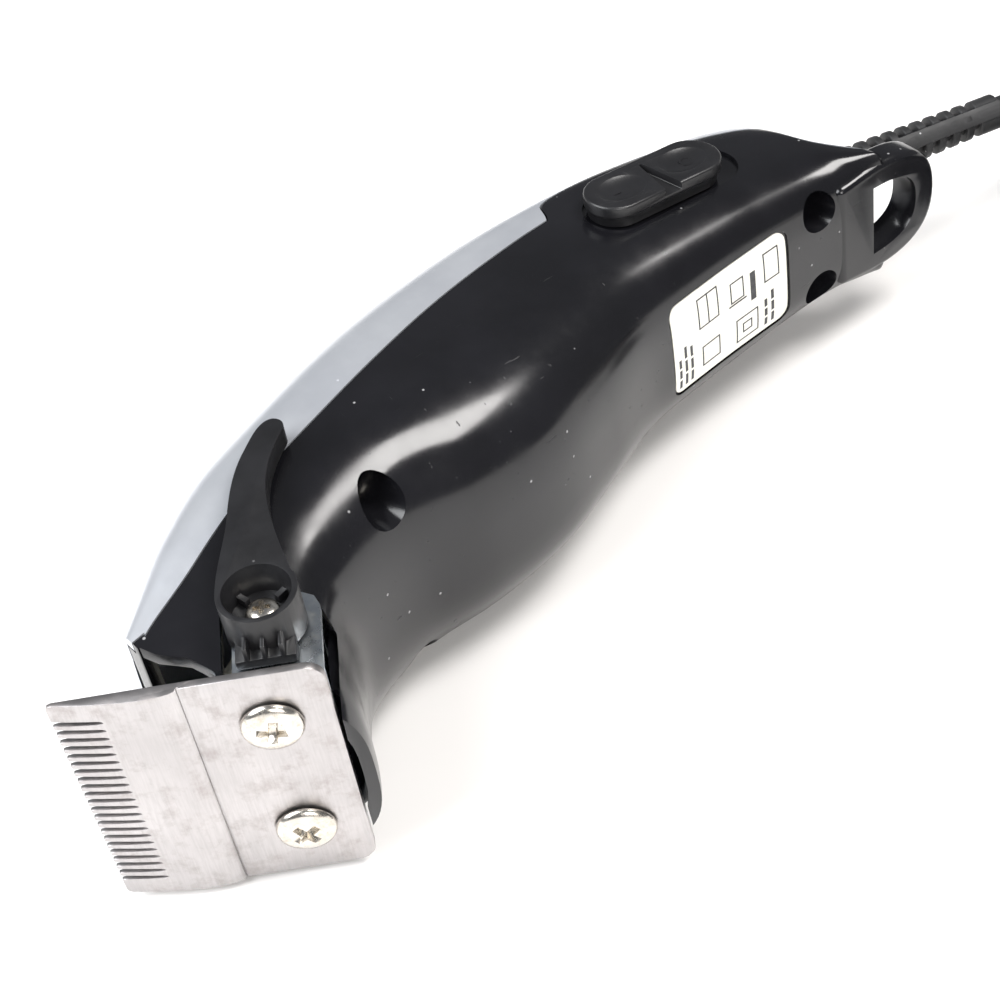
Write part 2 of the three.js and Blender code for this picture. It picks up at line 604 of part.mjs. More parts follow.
// ---- Cord: down to the table, a coil, and a short tail to the plug that lies on the coil ----
const tableCord = cordRadius - restHeight; // height of a cord's middle where it lies
const fallRoute = [
  [184.3, 29.93, 0], [189, 28.8, -0.2], [194.5, 28.2, -1.8], [200, 27.9, -4.8], [205.5, 27.7, -9],
  [211, 26.7, -13.6], [216.5, 24.6, -17.9], [221, 22.2, -20.8], [224.4, 20.2, tableCord],
];
const coilHigh = 2 * coil.rows * cordRadius - restHeight;
const plugHalfHeight = 6.85;
const plugHeight = coilHigh + gap + plugHalfHeight; // the plug lies flat on the coil
const plugPlace = [coil.x + 15.2, coil.y - 21.5];
const tailRoute = [
  [coil.x + 30.6, coil.y - 11.8, -1.8], [coil.x + 28.2, coil.y - 16.4, -1.7],
  [coil.x + 22.5, coil.y - 20.4, 0.6], [plugPlace[0] + 0.8, plugPlace[1], plugHeight],
];
const route = (points) => new THREE.CatmullRomCurve3(points.map((p) => new THREE.Vector3(...p)));
function cordTube(points, steps) {
  const section = new THREE.Shape();
  section.absarc(0, 0, cordRadius, 0, 2 * Math.PI);
  const settings = { extrudePath: route(points), steps, curveSegments: 8, bevelEnabled: false };
  return solid(new THREE.ExtrudeGeometry(section, settings));
}
piece('cord', cordTube(fallRoute, 8), rubber);
piece('cord_tail', cordTube(tailRoute, 4), rubber);

const coilHalf = coil.columns * cordRadius;
const coilRing = turnedZ([
  [coil.middle - coilHalf, -restHeight], [coil.middle + coilHalf, -restHeight],
  [coil.middle + coilHalf, coilHigh], [coil.middle - coilHalf, coilHigh],
  [coil.middle - coilHalf, -restHeight],
], 32).translate([coil.x, coil.y, 0]);
piece('cord_coil', coilRing, rubber);
function cordTie() {
  const inner = coilHalf + gap;
  const outer = inner + 1.2;
  const outside = box([-2, coil.middle - outer, -restHeight], [2, coil.middle + outer, coilHigh + 1.5]);
  const hollow = box([-3, coil.middle - inner, -restHeight - 1], [3, coil.middle + inner, coilHigh + gap]);
  return cut(outside, hollow).translate([coil.x, coil.y, 0]);
}
piece('cord_tie', cordTie(), satin);

const plugAngle = 180; // degrees, from +X to the way the pins point
const atPlug = (shape) => shape.rotate([0, 0, plugAngle]).translate([...plugPlace, plugHeight]);
const pinSides = [-1, 1];
const pinSpacing = 9.3; // from the middle of the plug
function plugBody() {
  const side = [[0, -4], [4, -5.5], [12, -17.2], [33, -17.2], [35, -16], [35, 16], [33, 17.2], [12, 17.2],
    [4, 5.5], [0, 4]];
  const body = prismZ(side, -plugHalfHeight, plugHalfHeight);
  const sockets = pinSides.map((sign) =>
    rodZ(2.3, 0, 0, 31, 37, 12).rotate([0, 90, 0]).translate([0, pinSpacing * sign, 0]));
  return atPlug(cut(body, ...sockets));
}
piece('plug_body', plugBody(), satin);
pinSides.forEach((sign, index) => {
  const pin = rodZ(2, 0, 0, 31 + gap, 54, 12).rotate([0, 90, 0]).translate([0, pinSpacing * sign, 0]);
  piece(`plug_pin_${index + 1}`, atPlug(pin), nickel);
});

export default clipper;
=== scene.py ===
import json
import math

import bmesh
import bpy
from mathutils import Matrix, Vector
from mathutils.bvhtree import BVHTree
from mathutils.interpolate import poly_3d_calc


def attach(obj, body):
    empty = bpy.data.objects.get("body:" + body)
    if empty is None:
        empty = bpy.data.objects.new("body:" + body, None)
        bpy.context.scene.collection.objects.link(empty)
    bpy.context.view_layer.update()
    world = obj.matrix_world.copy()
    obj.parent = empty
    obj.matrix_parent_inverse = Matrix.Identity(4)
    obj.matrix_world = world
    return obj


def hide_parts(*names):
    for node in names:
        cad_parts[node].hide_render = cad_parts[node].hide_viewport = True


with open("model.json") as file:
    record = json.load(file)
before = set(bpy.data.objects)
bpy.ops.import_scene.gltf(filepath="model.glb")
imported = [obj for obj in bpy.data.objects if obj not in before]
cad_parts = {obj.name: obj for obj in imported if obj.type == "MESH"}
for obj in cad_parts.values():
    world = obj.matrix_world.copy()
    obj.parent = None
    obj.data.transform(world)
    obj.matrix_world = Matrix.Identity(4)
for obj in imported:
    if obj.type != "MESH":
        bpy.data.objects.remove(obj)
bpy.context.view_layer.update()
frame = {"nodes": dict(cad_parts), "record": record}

# Pieces are drawn in millimetres: in the case's frame, or in the blade's, which is turned against it.
mm = 0.001
restHeight = 24.5
caseMiddle = (76.55, 30.03)
bladeAngle = 36
caseFrame = Matrix.Diagonal((mm, mm, mm, 1)) @ Matrix.Translation((-caseMiddle[0], -caseMiddle[1], restHeight))
bladeTurn = Matrix.Rotation(math.radians(-bladeAngle), 4, "Z")
bladeFrame = caseFrame @ bladeTurn


# ---- camera, light and floor
view = {"lens": 73.9, "sensor": 36, "nearest": 0.01, "place": (-83.161, -173.466, 237.391),
        "heading": -34.169, "tilt": 45.212, "roll": -10.597}


def setCamera():
    camera = bpy.data.objects.new("camera", bpy.data.cameras.new("camera"))
    camera.data.lens = view["lens"]
    camera.data.sensor_width = view["sensor"]
    camera.data.clip_start = view["nearest"]
    aim = (
        Matrix.Rotation(math.radians(view["heading"]), 4, "Z")
        @ Matrix.Rotation(math.radians(view["tilt"]), 4, "X")
        @ Matrix.Rotation(math.radians(view["roll"]), 4, "Z")
    )
    camera.matrix_world = Matrix.Translation(caseFrame @ Vector(view["place"])) @ aim
    bpy.context.scene.collection.objects.link(camera)
    bpy.context.scene.camera = camera


lamps = {
    "windowSide": {"from": (-0.9, 0.35, 1.0), "size": 1.1, "power": 30, "colour": (0.96, 0.98, 1.0)},
    "overhead": {"from": (0.5, -0.35, 1.15), "size": 0.5, "power": 14, "colour": (1.0, 0.98, 0.96)},
    "nearSide": {"from": (-0.35, -1.1, 0.75), "size": 0.7, "power": 10, "colour": (1.0, 0.98, 0.95)},
}
room = {"colour": (0.93, 0.95, 1.0), "strength": 0.2}


def setLamps():
    for name, lamp in lamps.items():
        light = bpy.data.lights.new(name, "AREA")
        light.size = lamp["size"]
        light.energy = lamp["power"]
        light.color = lamp["colour"]
        holder = bpy.data.objects.new(name, light)
        place = Vector(lamp["from"])
        holder.matrix_world = Matrix.Translation(place) @ place.to_track_quat("Z", "Y").to_matrix().to_4x4()
        bpy.context.scene.collection.objects.link(holder)
    world = bpy.data.worlds.new("room")
    world.use_nodes = True
    sky = world.node_tree.nodes["Background"]
    sky.inputs["Color"].default_value = (*room["colour"], 1)
    sky.inputs["Strength"].default_value = room["strength"]
    bpy.context.scene.world = world
    bpy.context.scene.view_settings.view_transform = "Standard"


# ---- materials, all from noise on Object coordinates in metres
hairlines = (((0.3, 0.2, 0.5), (30, 900, 900)), ((-0.6, 0.9, -0.4), (900, 24, 900)))  # each way's turn and stretch
dustColour = (0.55, 0.55, 0.56)


def finish(name, slot, look):
    made = bpy.data.materials.new(name)
    made.use_nodes = True
    tree = made.node_tree
    shader = tree.nodes["Principled BSDF"]

    def node(kind, **values):
        new = tree.nodes.new(kind)
        for key, value in values.items():
            setattr(new, key, value)
        return new

    def link(a, b):
        tree.links.new(a, b)

    place = node("ShaderNodeTexCoord").outputs["Object"]
    turned = node("ShaderNodeMapping")
    turned.inputs["Rotation"].default_value = look.get("turn", (0, 0, 0))
    turned.inputs["Scale"].default_value = look.get("stretch", (1, 1, 1))
    link(place, turned.inputs["Vector"])

    def noise(scale, detail=4.0, rough=0.55, source=place):
        new = node("ShaderNodeTexNoise")
        new.inputs["Scale"].default_value = scale
        new.inputs["Detail"].default_value = detail
        new.inputs["Roughness"].default_value = rough
        link(source, new.inputs["Vector"])
        return new.outputs["Fac"]

    def mapped(value, low, high, toLow=0.0, toHigh=1.0):
        new = node("ShaderNodeMapRange")
        for key, number in (("From Min", low), ("From Max", high), ("To Min", toLow), ("To Max", toHigh)):
            new.inputs[key].default_value = number
        link(value, new.inputs["Value"])
        return new.outputs["Result"]

    def sums(operation, a, b):
        new = node("ShaderNodeMath", operation=operation)
        for socket, value in zip(new.inputs, (a, b)):
            if isinstance(value, (int, float)):
                socket.default_value = value
            else:
                link(value, socket)
        return new.outputs["Value"]

    def blend(share, a, b):
        new = node("ShaderNodeMix", data_type="RGBA")
        link(share, new.inputs[0])
        for socket, value in ((new.inputs[6], a), (new.inputs[7], b)):
            if isinstance(value, tuple):
                socket.default_value = (*value, 1)
            else:
                link(value, socket)
        return new.outputs[2]

    # colour: two tones in soft patches
    patches = mapped(noise(look.get("patchScale", 90)), 0.38, 0.64)
    colour = blend(patches, look["colour"], look.get("second", look["colour"]))
    rough = mapped(noise(look.get("roughScale", 140), 6.0, 0.65), 0.3, 0.7, *look["roughness"])
    height = noise(look.get("grainScale", 2600), 3.0, source=turned.outputs["Vector"])
    height = sums("MULTIPLY", height, look.get("grain", 0.3))

    if "streaks" in look:  # fine brushed lines
        lines = noise(look["streaks"]["scale"], 5.0, 0.7, source=turned.outputs["Vector"])
        height = sums("ADD", height, sums("MULTIPLY", lines, look["streaks"]["depth"]))
        rough = sums("ADD", rough, mapped(lines, 0.3, 0.7, -look["streaks"]["rough"], look["streaks"]["rough"]))
        colour = blend(mapped(lines, 0.42, 0.68, 0.0, look["streaks"]["tone"]), colour, look["streaks"]["colour"])
    if "smudge" in look:  # fingerprints and drying marks
        marks = mapped(noise(look["smudge"]["scale"], 8.0, 0.7), 0.5, 0.66)
        colour = blend(sums("MULTIPLY", marks, look["smudge"]["tone"]), colour, look["smudge"]["colour"])
        rough = sums("ADD", rough, sums("MULTIPLY", marks, look["smudge"]["rough"]))
    if "scratches" in look:  # hairlines in two directions
        for turn, scale in hairlines:
            way = node("ShaderNodeMapping")
            way.inputs["Rotation"].default_value = turn
            way.inputs["Scale"].default_value = scale
            link(place, way.inputs["Vector"])
            field = noise(1.0, 2.0, 0.5, source=way.outputs["Vector"])
            hair = mapped(field, 0.735, 0.76)
            height = sums("SUBTRACT", height, sums("MULTIPLY", hair, look["scratches"]))
            rough = sums("ADD", rough, sums("MULTIPLY", hair, 0.25))
    if "dust" in look:  # specks, a few to the centimetre
        specks = node("ShaderNodeTexVoronoi")
        specks.inputs["Scale"].default_value = look["dust"]["scale"]
        link(place, specks.inputs["Vector"])
        near = mapped(specks.outputs["Distance"], 0.05, 0.09, 1.0, 0.0)
        pick = node("ShaderNodeSeparateColor")
        link(specks.outputs["Color"], pick.inputs["Color"])
        some = mapped(pick.outputs[0], 0.8, 0.82)
        grains = sums("MULTIPLY", near, some)
        colour = blend(sums("MULTIPLY", grains, look["dust"]["tone"]), colour, dustColour)
        rough = sums("ADD", rough, sums("MULTIPLY", grains, 0.5))
        height = sums("ADD", height, sums("MULTIPLY", grains, 0.4))

    bump = node("ShaderNodeBump")
    bump.inputs["Strength"].default_value = look.get("bump", 0.3)
    bump.inputs["Distance"].default_value = look.get("bumpDepth", 0.00003)
    link(height, bump.inputs["Height"])
    link(bump.outputs["Normal"], shader.inputs["Normal"])
    link(colour, shader.inputs["Base Color"])
    link(rough, shader.inputs["Roughness"])
    shader.inputs["Metallic"].default_value = look.get("metallic", 0.0)
    shader.inputs["Specular IOR Level"].default_value = look.get("specular", 0.5)
    shader.inputs["Coat Weight"].default_value = look.get("coat", 0.0)
    shader.inputs["Coat Roughness"].default_value = look.get("coatRoughness", 0.1)
    made["slot"] = slot
    return made


alongBlade = (0, 0, math.radians(bladeAngle))
glossBlack = finish("glossBlack", "case_black", {
    "colour": (0.0055, 0.0055, 0.0068), "second": (0.0085, 0.0085, 0.0105), "roughness": (0.13, 0.24),
    "patchScale": 40, "roughScale": 120, "grain": 0.12, "grainScale": 1500, "bump": 0.22,
    "scratches": 0.5, "dust": {"scale": 300, "tone": 0.5}, "specular": 0.5,
})
silverPaint = finish("silverPaint", "cover_silver", {
    "colour": (0.54, 0.56, 0.60), "second": (0.60, 0.62, 0.655), "roughness": (0.30, 0.40), "metallic": 0.62,
    "patchScale": 60, "grain": 0.8, "grainScale": 9000, "bump": 0.25, "bumpDepth": 0.00002,
    "dust": {"scale": 260, "tone": 0.3}, "coat": 0.25, "coatRoughness": 0.22,
})
satinBlack = finish("satinBlack", "satin_black", {
    "colour": (0.008, 0.008, 0.009), "second": (0.013, 0.013, 0.0145), "roughness": (0.30, 0.42),
    "patchScale": 120, "grain": 0.8, "grainScale": 4200, "bump": 0.35, "dust": {"scale": 330, "tone": 0.6},
    "scratches": 0.3,
})
bladeSteel = finish("bladeSteel", "blade_steel", {
    "colour": (0.46, 0.44, 0.44), "second": (0.52, 0.50, 0.50), "roughness": (0.30, 0.44), "metallic": 1.0,
    "turn": alongBlade, "stretch": (1, 1, 0.06), "patchScale": 70, "roughScale": 210, "grain": 0.25,
    "streaks": {"scale": 2600, "depth": 0.7, "rough": 0.05, "tone": 0.35, "colour": (0.36, 0.345, 0.34)},
    "smudge": {"scale": 240, "tone": 0.45, "colour": (0.33, 0.29, 0.28), "rough": 0.12}, "bump": 0.25,
})
# painted shade: the moving blade's steel is made near black, in its colour, second tone and streaks, to stand for the
# shade it lies in behind the fixed blade
cutterSteelPaintedShade = finish("cutterSteelPaintedShade", "cutter_steel", {
    "colour": (0.08, 0.08, 0.082), "second": (0.13, 0.125, 0.12), "roughness": (0.32, 0.5), "metallic": 1.0,
    "turn": alongBlade, "stretch": (1, 1, 0.08), "patchScale": 150,
    "streaks": {"scale": 2200, "depth": 0.5, "rough": 0.06, "tone": 0.4, "colour": (0.05, 0.05, 0.05)},
})
nickelPlate = finish("nickelPlate", "screw_nickel", {
    "colour": (0.71, 0.68, 0.63), "second": (0.62, 0.58, 0.52), "roughness": (0.14, 0.26), "metallic": 1.0,
    "patchScale": 420, "roughScale": 700, "grain": 0.35, "grainScale": 3000, "bump": 0.3,
    "smudge": {"scale": 600, "tone": 0.5, "colour": (0.42, 0.36, 0.27), "rough": 0.16}, "scratches": 0.4,
})
zincPlate = finish("zincPlate", "frame_zinc", {
    "colour": (0.66, 0.70, 0.73), "second": (0.52, 0.57, 0.62), "roughness": (0.22, 0.36), "metallic": 1.0,
    "patchScale": 300, "grain": 0.3, "bump": 0.25,
    "smudge": {"scale": 380, "tone": 0.4, "colour": (0.50, 0.50, 0.44), "rough": 0.15}, "scratches": 0.5,
})
softRubber = finish("softRubber", "rubber_black", {
    "colour": (0.013, 0.013, 0.014), "second": (0.021, 0.021, 0.022), "roughness": (0.46, 0.62),
    "patchScale": 160, "grain": 1.0, "grainScale": 5200, "bump": 0.4, "dust": {"scale": 420, "tone": 0.7},
})
labelFilm = finish("labelFilm", "label_paper", {
    "colour": (0.84, 0.82, 0.735), "second": (0.88, 0.86, 0.79), "roughness": (0.34, 0.46),
    "patchScale": 110, "grain": 0.4, "grainScale": 3600, "bump": 0.2, "dust": {"scale": 420, "tone": 0.35},
})
labelInk = finish("labelInk", "label_paper", {
    "colour": (0.02, 0.02, 0.022), "second": (0.045, 0.045, 0.05), "roughness": (0.4, 0.55), "patchScale": 900,
})
enamelWire = finish("enamelWire", "coil_copper", {
    "colour": (0.44, 0.16, 0.055), "second": (0.56, 0.24, 0.09), "roughness": (0.22, 0.36), "metallic": 1.0,
    "stretch": (1, 0.03, 1), "patchScale": 200,
    "streaks": {"scale": 3200, "depth": 1.0, "rough": 0.08, "tone": 0.7, "colour": (0.20, 0.07, 0.03)}, "bump": 0.6,
})
coreIron = finish("coreIron", "core_iron", {
    "colour": (0.13, 0.13, 0.135), "second": (0.21, 0.20, 0.19), "roughness": (0.4, 0.6), "metallic": 0.9,
    "stretch": (0.03, 1, 0.03), "patchScale": 160,
    "streaks": {"scale": 2000, "depth": 1.0, "rough": 0.08, "tone": 0.6, "colour": (0.06, 0.055, 0.05)}, "bump": 0.5,
})
whiteNylon = finish("whiteNylon", "nylon_white", {
    "colour": (0.70, 0.67, 0.58), "second": (0.76, 0.74, 0.66), "roughness": (0.36, 0.5), "patchScale": 120,
    "grain": 0.6, "grainScale": 3600,
})
turnedBrass = finish("turnedBrass", "brass", {
    "colour": (0.60, 0.42, 0.15), "second": (0.50, 0.33, 0.10), "roughness": (0.22, 0.34), "metallic": 1.0,
    "patchScale": 300, "grain": 0.4, "smudge": {"scale": 500, "tone": 0.5, "colour": (0.25, 0.15, 0.06), "rough": 0.1},
})
finishes = {made["slot"]: made for made in (
    labelInk, glossBlack, silverPaint, satinBlack, bladeSteel, cutterSteelPaintedShade, nickelPlate, zincPlate, softRubber,
    labelFilm, enamelWire, coreIron, whiteNylon, turnedBrass)}


def finishCadNodes():
    for part in frame["record"]["subparts"]:
        mesh = frame["nodes"][part["node"]].data
        mesh.materials.clear()
        mesh.materials.append(finishes[part["material_slot"]])


# ---- shapes
def loft(rings):
    bm = bmesh.new()
    loops = []
    for ring in rings:
        verts = [bm.verts.new(point) for point in ring]
        loops.append([bm.edges.new(pair) for pair in zip(verts, verts[1:] + verts[:1])])
    for near, far in zip(loops, loops[1:]):
        bmesh.ops.bridge_loops(bm, edges=near + far)
    for end in (loops[0], loops[-1]):
        cap = bmesh.ops.contextual_create(bm, geom=end)["faces"]
        bmesh.ops.poke(bm, faces=cap)
    bmesh.ops.recalc_face_normals(bm, faces=bm.faces)
    return bm


def prism(plan, low, high, axis="Z"):
    bm = bmesh.new()
    face = bm.faces.new([bm.verts.new((x, y, low)) for x, y in plan])
    raised = bmesh.ops.extrude_face_region(bm, geom=[face])["geom"]
    bmesh.ops.translate(bm, verts=[v for v in raised if isinstance(v, bmesh.types.BMVert)], vec=(0, 0, high - low))
    if axis == "Y":  # the plan is then in X and Z
        bmesh.ops.rotate(bm, verts=bm.verts, matrix=Matrix.Rotation(math.radians(90), 3, "X"))
        bmesh.ops.scale(bm, verts=bm.verts, vec=(1, -1, 1))
    bmesh.ops.recalc_face_normals(bm, faces=bm.faces)
    return bm


def rod(radius, low, high, place=(0, 0), axis="Z", sides=48):
    bm = bmesh.new()
    bmesh.ops.create_cone(
        bm, cap_ends=True, segments=sides, radius1=radius, radius2=radius, depth=high - low,
        matrix=Matrix.Translation((0, 0, (low + high) / 2)),
    )
    if axis == "Y":
        bmesh.ops.rotate(bm, verts=bm.verts, matrix=Matrix.Rotation(math.radians(-90), 3, "X"))
        bmesh.ops.translate(bm, verts=bm.verts, vec=(place[0], 0, place[1]))
    else:
        bmesh.ops.translate(bm, verts=bm.verts, vec=(*place, 0))
    return bm


def slab(low, high):
    bm = bmesh.new()
    size = [b - a for a, b in zip(low, high)]
    middle = [(a + b) / 2 for a, b in zip(low, high)]
    bmesh.ops.create_cube(bm, size=1, matrix=Matrix.Translation(middle) @ Matrix.Diagonal((*size, 1)))
    return bm


def lathe(profile, sides=48):
    # profile gives radius and height, and is turned about Z
    bm = bmesh.new()
    verts = [bm.verts.new((radius, 0, height)) for radius, height in profile]
    edges = [bm.edges.new(pair) for pair in zip(verts, verts[1:])]
    bmesh.ops.spin(
        bm, geom=verts + edges, cent=(0, 0, 0), axis=(0, 0, 1), angle=2 * math.pi, steps=sides, use_merge=True,
    )
    bmesh.ops.remove_doubles(bm, verts=bm.verts, dist=1e-4)
    bmesh.ops.recalc_face_normals(bm, faces=bm.faces)
    return bm


def moved(bm, matrix):
    bm.transform(matrix)
    return bm


def together(first, *rest):
    for other in rest:
        mesh = bpy.data.meshes.new("part")
        other.to_mesh(mesh)
        other.free()
        first.from_mesh(mesh)
        bpy.data.meshes.remove(mesh)
    return first


def bench(bm, name):
    mesh = bpy.data.meshes.new(name)
    bm.to_mesh(mesh)
    bm.free()
    thing = bpy.data.objects.new(name, mesh)
    bpy.context.scene.collection.objects.link(thing)
    return thing


def combined(bm, tool, operation="DIFFERENCE"):
    work = bench(bm, "work")
    cutter = bench(tool, "cutter")
    step = work.modifiers.new("step", "BOOLEAN")
    step.operation = operation
    step.object = cutter
    step.solver = "EXACT"
    mesh = bpy.data.meshes.new_from_object(work.evaluated_get(bpy.context.evaluated_depsgraph_get()))
    result = bmesh.new()
    result.from_mesh(mesh)
    for thing in (work, cutter):
        data = thing.data
        bpy.data.objects.remove(thing)
        bpy.data.meshes.remove(data)
    bpy.data.meshes.remove(mesh)
    return result


def without(bm, *tools):
    for tool in tools:
        bm = combined(bm, tool)
    return bm


def joined(bm, *others):
    for other in others:
        bm = combined(bm, other, "UNION")
    return bm


def sharpEdges(bm, angle):
    limit = math.radians(angle)
    return [e for e in bm.edges if len(e.link_faces) == 2 and e.calc_face_angle(0) > limit]


def rounded(bm, width, angle=32, segments=2, clean=0.0):
    if clean:
        rim = list({v for e in sharpEdges(bm, angle) for v in e.verts})
        bmesh.ops.remove_doubles(bm, verts=rim, dist=clean)
        bmesh.ops.dissolve_degenerate(bm, edges=bm.edges, dist=clean / 4)
    bmesh.ops.bevel(
        bm, geom=sharpEdges(bm, angle), offset=width, offset_type="OFFSET", segments=segments, profile=0.5,
        affect="EDGES", clamp_overlap=True, material=-1, loop_slide=True,
    )
    return bm


def borrowShading(mesh, guide, near=0.06, alike=0.9):
    # corners on the moulded surface keep that surface's own normals after it is cut
    tree = BVHTree.FromBMesh(guide)
    guide.faces.ensure_lookup_table()
    normals = [corner.vector.copy() for corner in mesh.corner_normals]
    for polygon in mesh.polygons:
        place, normal, index, distance = tree.find_nearest(polygon.center)
        if distance > near or normal.dot(polygon.normal) < alike:
            continue
        for corner in polygon.loop_indices:
            point = mesh.vertices[mesh.loops[corner].vertex_index].co
            place, normal, index, distance = tree.find_nearest(point)
            if distance > near:
                continue
            verts = guide.faces[index].verts
            weights = poly_3d_calc([v.co for v in verts], place)
            normals[corner] = sum((v.normal * share for v, share in zip(verts, weights)), Vector()).normalized()
    mesh.normals_split_custom_set(normals)


def addPiece(name, bm, made, body="root", place=caseFrame, stands=(), smooth=40, guide=None):
    mesh = bpy.data.meshes.new(name)
    bm.to_mesh(mesh)
    bm.free()
    mesh.polygons.foreach_set("use_smooth", [True] * len(mesh.polygons))
    mesh.set_sharp_from_angle(angle=math.radians(smooth))
    if guide is not None:
        borrowShading(mesh, guide)
    mesh.transform(place)
    mesh.materials.append(made)
    piece = bpy.data.objects.new(name, mesh)
    bpy.context.scene.collection.objects.link(piece)
    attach(piece, body)
    if stands:
        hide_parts(*stands)
    return piece


def lineAt(points, share):
    # a smooth line through points, one step from each to the next
    last = len(points) - 1
    along = share * last
    start = min(int(along), last)
    t = along - start
    a, b, c, d = (Vector(points[min(max(start + k, 0), last)]) for k in (-1, 0, 1, 2))
    u, v = (c - a) / 2, (d - b) / 2
    return (2 * b - 2 * c + u + v) * t**3 + (3 * c - 3 * b - 2 * u - v) * t**2 + u * t + b


def blendStep(value, low, high):
    t = min(max((value - low) / (high - low), 0), 1)
    return t * t * (3 - 2 * t)


# ---- cord: straight out of the strain relief, down to the table, wound into a coil, and out to the plug
cordShape = {
    "radius": 2.5, "exit": (184, 30, 0),
    "fall": [(184, 30, 0), (189, 28.8, -0.2), (194.5, 28.2, -1.8), (200, 27.9, -4.8), (205.5, 27.7, -9),
             (211, 26.7, -13.6), (216.5, 24.6, -17.9), (221, 22.4, -20.8)],
    "coil": (204.55, -11.47), "rings": (32, 27), "startAngle": 58, "startRadius": 37.4, "closeIn": 75,
    "slots": [(0, 0), (1, 0), (1, 1), (0, 1), (0, 2), (1, 2), (1, 3), (0, 3)],
    "window": 45, "shift": 15, "endAngle": 15, "turns": 7, "whole": 2495, "step": 7.5,
    # from the coil's middle, rising over its top and round to the plug
    "tail": [(32.9, 3, -6.9), (33.7, -1.5, -6.4), (33.2, -6.5, -5.2), (31.7, -11, -3.3), (29.2, -15, -1.4),
             (25.6, -18.4, 0.5), (21.3, -20.8, 1.9), (16, -21.5, 2.65)],
}


def coilPlace(turned):
    # turned is in degrees from the first turn's start, winding clockwise as seen from above
    shape = cordShape
    perSlot = 360 - shape["shift"]
    slots = shape["slots"]
    slot = min(int(turned // perSlot), len(slots) - 1)
    column, row = slots[slot]
    inside = turned - slot * perSlot
    share = blendStep(inside, perSlot - shape["window"], perSlot) if slot + 1 < len(slots) else 0
    nextColumn, nextRow = slots[min(slot + 1, len(slots) - 1)]
    radius = shape["rings"][column] * (1 - share) + shape["rings"][nextColumn] * share
    level = row * (1 - share) + nextRow * share
    return radius, level


def cordPath():
    shape = cordShape
    radius = shape["radius"]
    path = [Vector(point) for point in shape["fall"]]
    close = shape["closeIn"]
    middle = shape["coil"]
    swept = shape["startAngle"] - shape["endAngle"] + 360 * shape["turns"]
    lead = swept - shape["whole"]
    count = int(swept // shape["step"])
    for index in range(count + 1):
        swing = index * swept / count
        ring, level = coilPlace(max(swing - lead, 0))
        ring += (shape["startRadius"] - shape["rings"][0]) * (1 - blendStep(swing, 0, close))
        angle = math.radians(shape["startAngle"] - swing)
        height = radius + 2 * radius * level - restHeight
        path.append(Vector((middle[0] + ring * math.cos(angle), middle[1] + ring * math.sin(angle), height)))
    x, y = shape["coil"]
    return path + [Vector((x + place[0], y + place[1], place[2])) for place in shape["tail"]]


def makeCord():
    path = [caseFrame @ point for point in cordPath()]
    curve = bpy.data.curves.new("cord_run", "CURVE")
    curve.dimensions = "3D"
    curve.bevel_depth = cordShape["radius"] * mm
    curve.bevel_resolution = 3
    curve.use_fill_caps = True
    spline = curve.splines.new("POLY")
    spline.points.add(len(path) - 1)
    for point, place in zip(spline.points, path):
        point.co = (*place, 1)
    curve.materials.append(softRubber)
    cord = bpy.data.objects.new("cord_run", curve)
    bpy.context.scene.collection.objects.link(cord)
    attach(cord, "root")
    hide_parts("cord", "cord_tail", "cord_coil")
    length = sum((b - a).length for a, b in zip(path, path[1:]))
    print("cord length", round(length, 3))
    return cord, length


plugShape = {
    "place": (219.75, -32.97, 2.65), "turn": 180, "halfHeight": 6.85, "edge": 2.2,
    "plan": [(0, -4), (4, -5.5), (12, -17.2), (33, -17.2), (35, -16),
             (35, 16), (33, 17.2), (12, 17.2), (4, 5.5), (0, 4)],
    "grips": 5, "gripPitch": 3.1, "gripFrom": 14.5, "gripRadius": 0.8, "gripSide": 17.5,
    "pinHole": 2.3, "pinFrom": 31, "pinTo": 37, "pinSide": 9.3,
}


def makePlug():
    shape = plugShape
    body = prism(shape["plan"], -shape["halfHeight"], shape["halfHeight"])
    rounded(body, shape["edge"], angle=50, segments=4)
    for side in (-1, 1):
        ahead = Matrix.Translation((0, side * shape["pinSide"], 0)) @ Matrix.Rotation(math.radians(90), 4, "Y")
        body = without(body, moved(rod(shape["pinHole"], shape["pinFrom"], shape["pinTo"], sides=24), ahead))
        for index in range(shape["grips"]):
            x = shape["gripFrom"] + index * shape["gripPitch"]
            body = without(body, rod(shape["gripRadius"], -12, 12, (x, side * shape["gripSide"]), sides=20))
    turn = Matrix.Rotation(math.radians(shape["turn"]), 4, "Z")
    moved(body, Matrix.Translation(shape["place"]) @ turn)
    return addPiece("plug_moulding", body, satinBlack, stands=["plug_body"], smooth=38)


tieShape = {"width": 4, "thick": 1.1, "from": (24.2, 34.1), "height": 20.8, "lift": 0.05, "bend": 2.4,
            "innerBend": 1.9, "twist": 1.1, "twistAt": 29.65}


def makeTie():
    shape = tieShape
    inner, outer = shape["from"]
    x, y = cordShape["coil"]
    low, high = -restHeight + shape["lift"], -restHeight + shape["height"]
    half = shape["width"] / 2
    band = slab((x - half, y + inner - shape["thick"], low), (x + half, y + outer + shape["thick"], high))
    rounded(band, shape["bend"], angle=60, segments=5)
    hollow = slab((x - half - 3, y + inner, low + 0.15), (x + half + 3, y + outer, high - shape["thick"]))
    rounded(hollow, shape["innerBend"], angle=60, segments=5)
    band = without(band, hollow)
    twist = rod(shape["twist"], high - 0.6, high + 1.1, (x, y + shape["twistAt"]), sides=20)
    band = joined(band, twist)
    return addPiece("tie_band", rounded(band, 0.25, angle=40), satinBlack, stands=["cord_tie"])


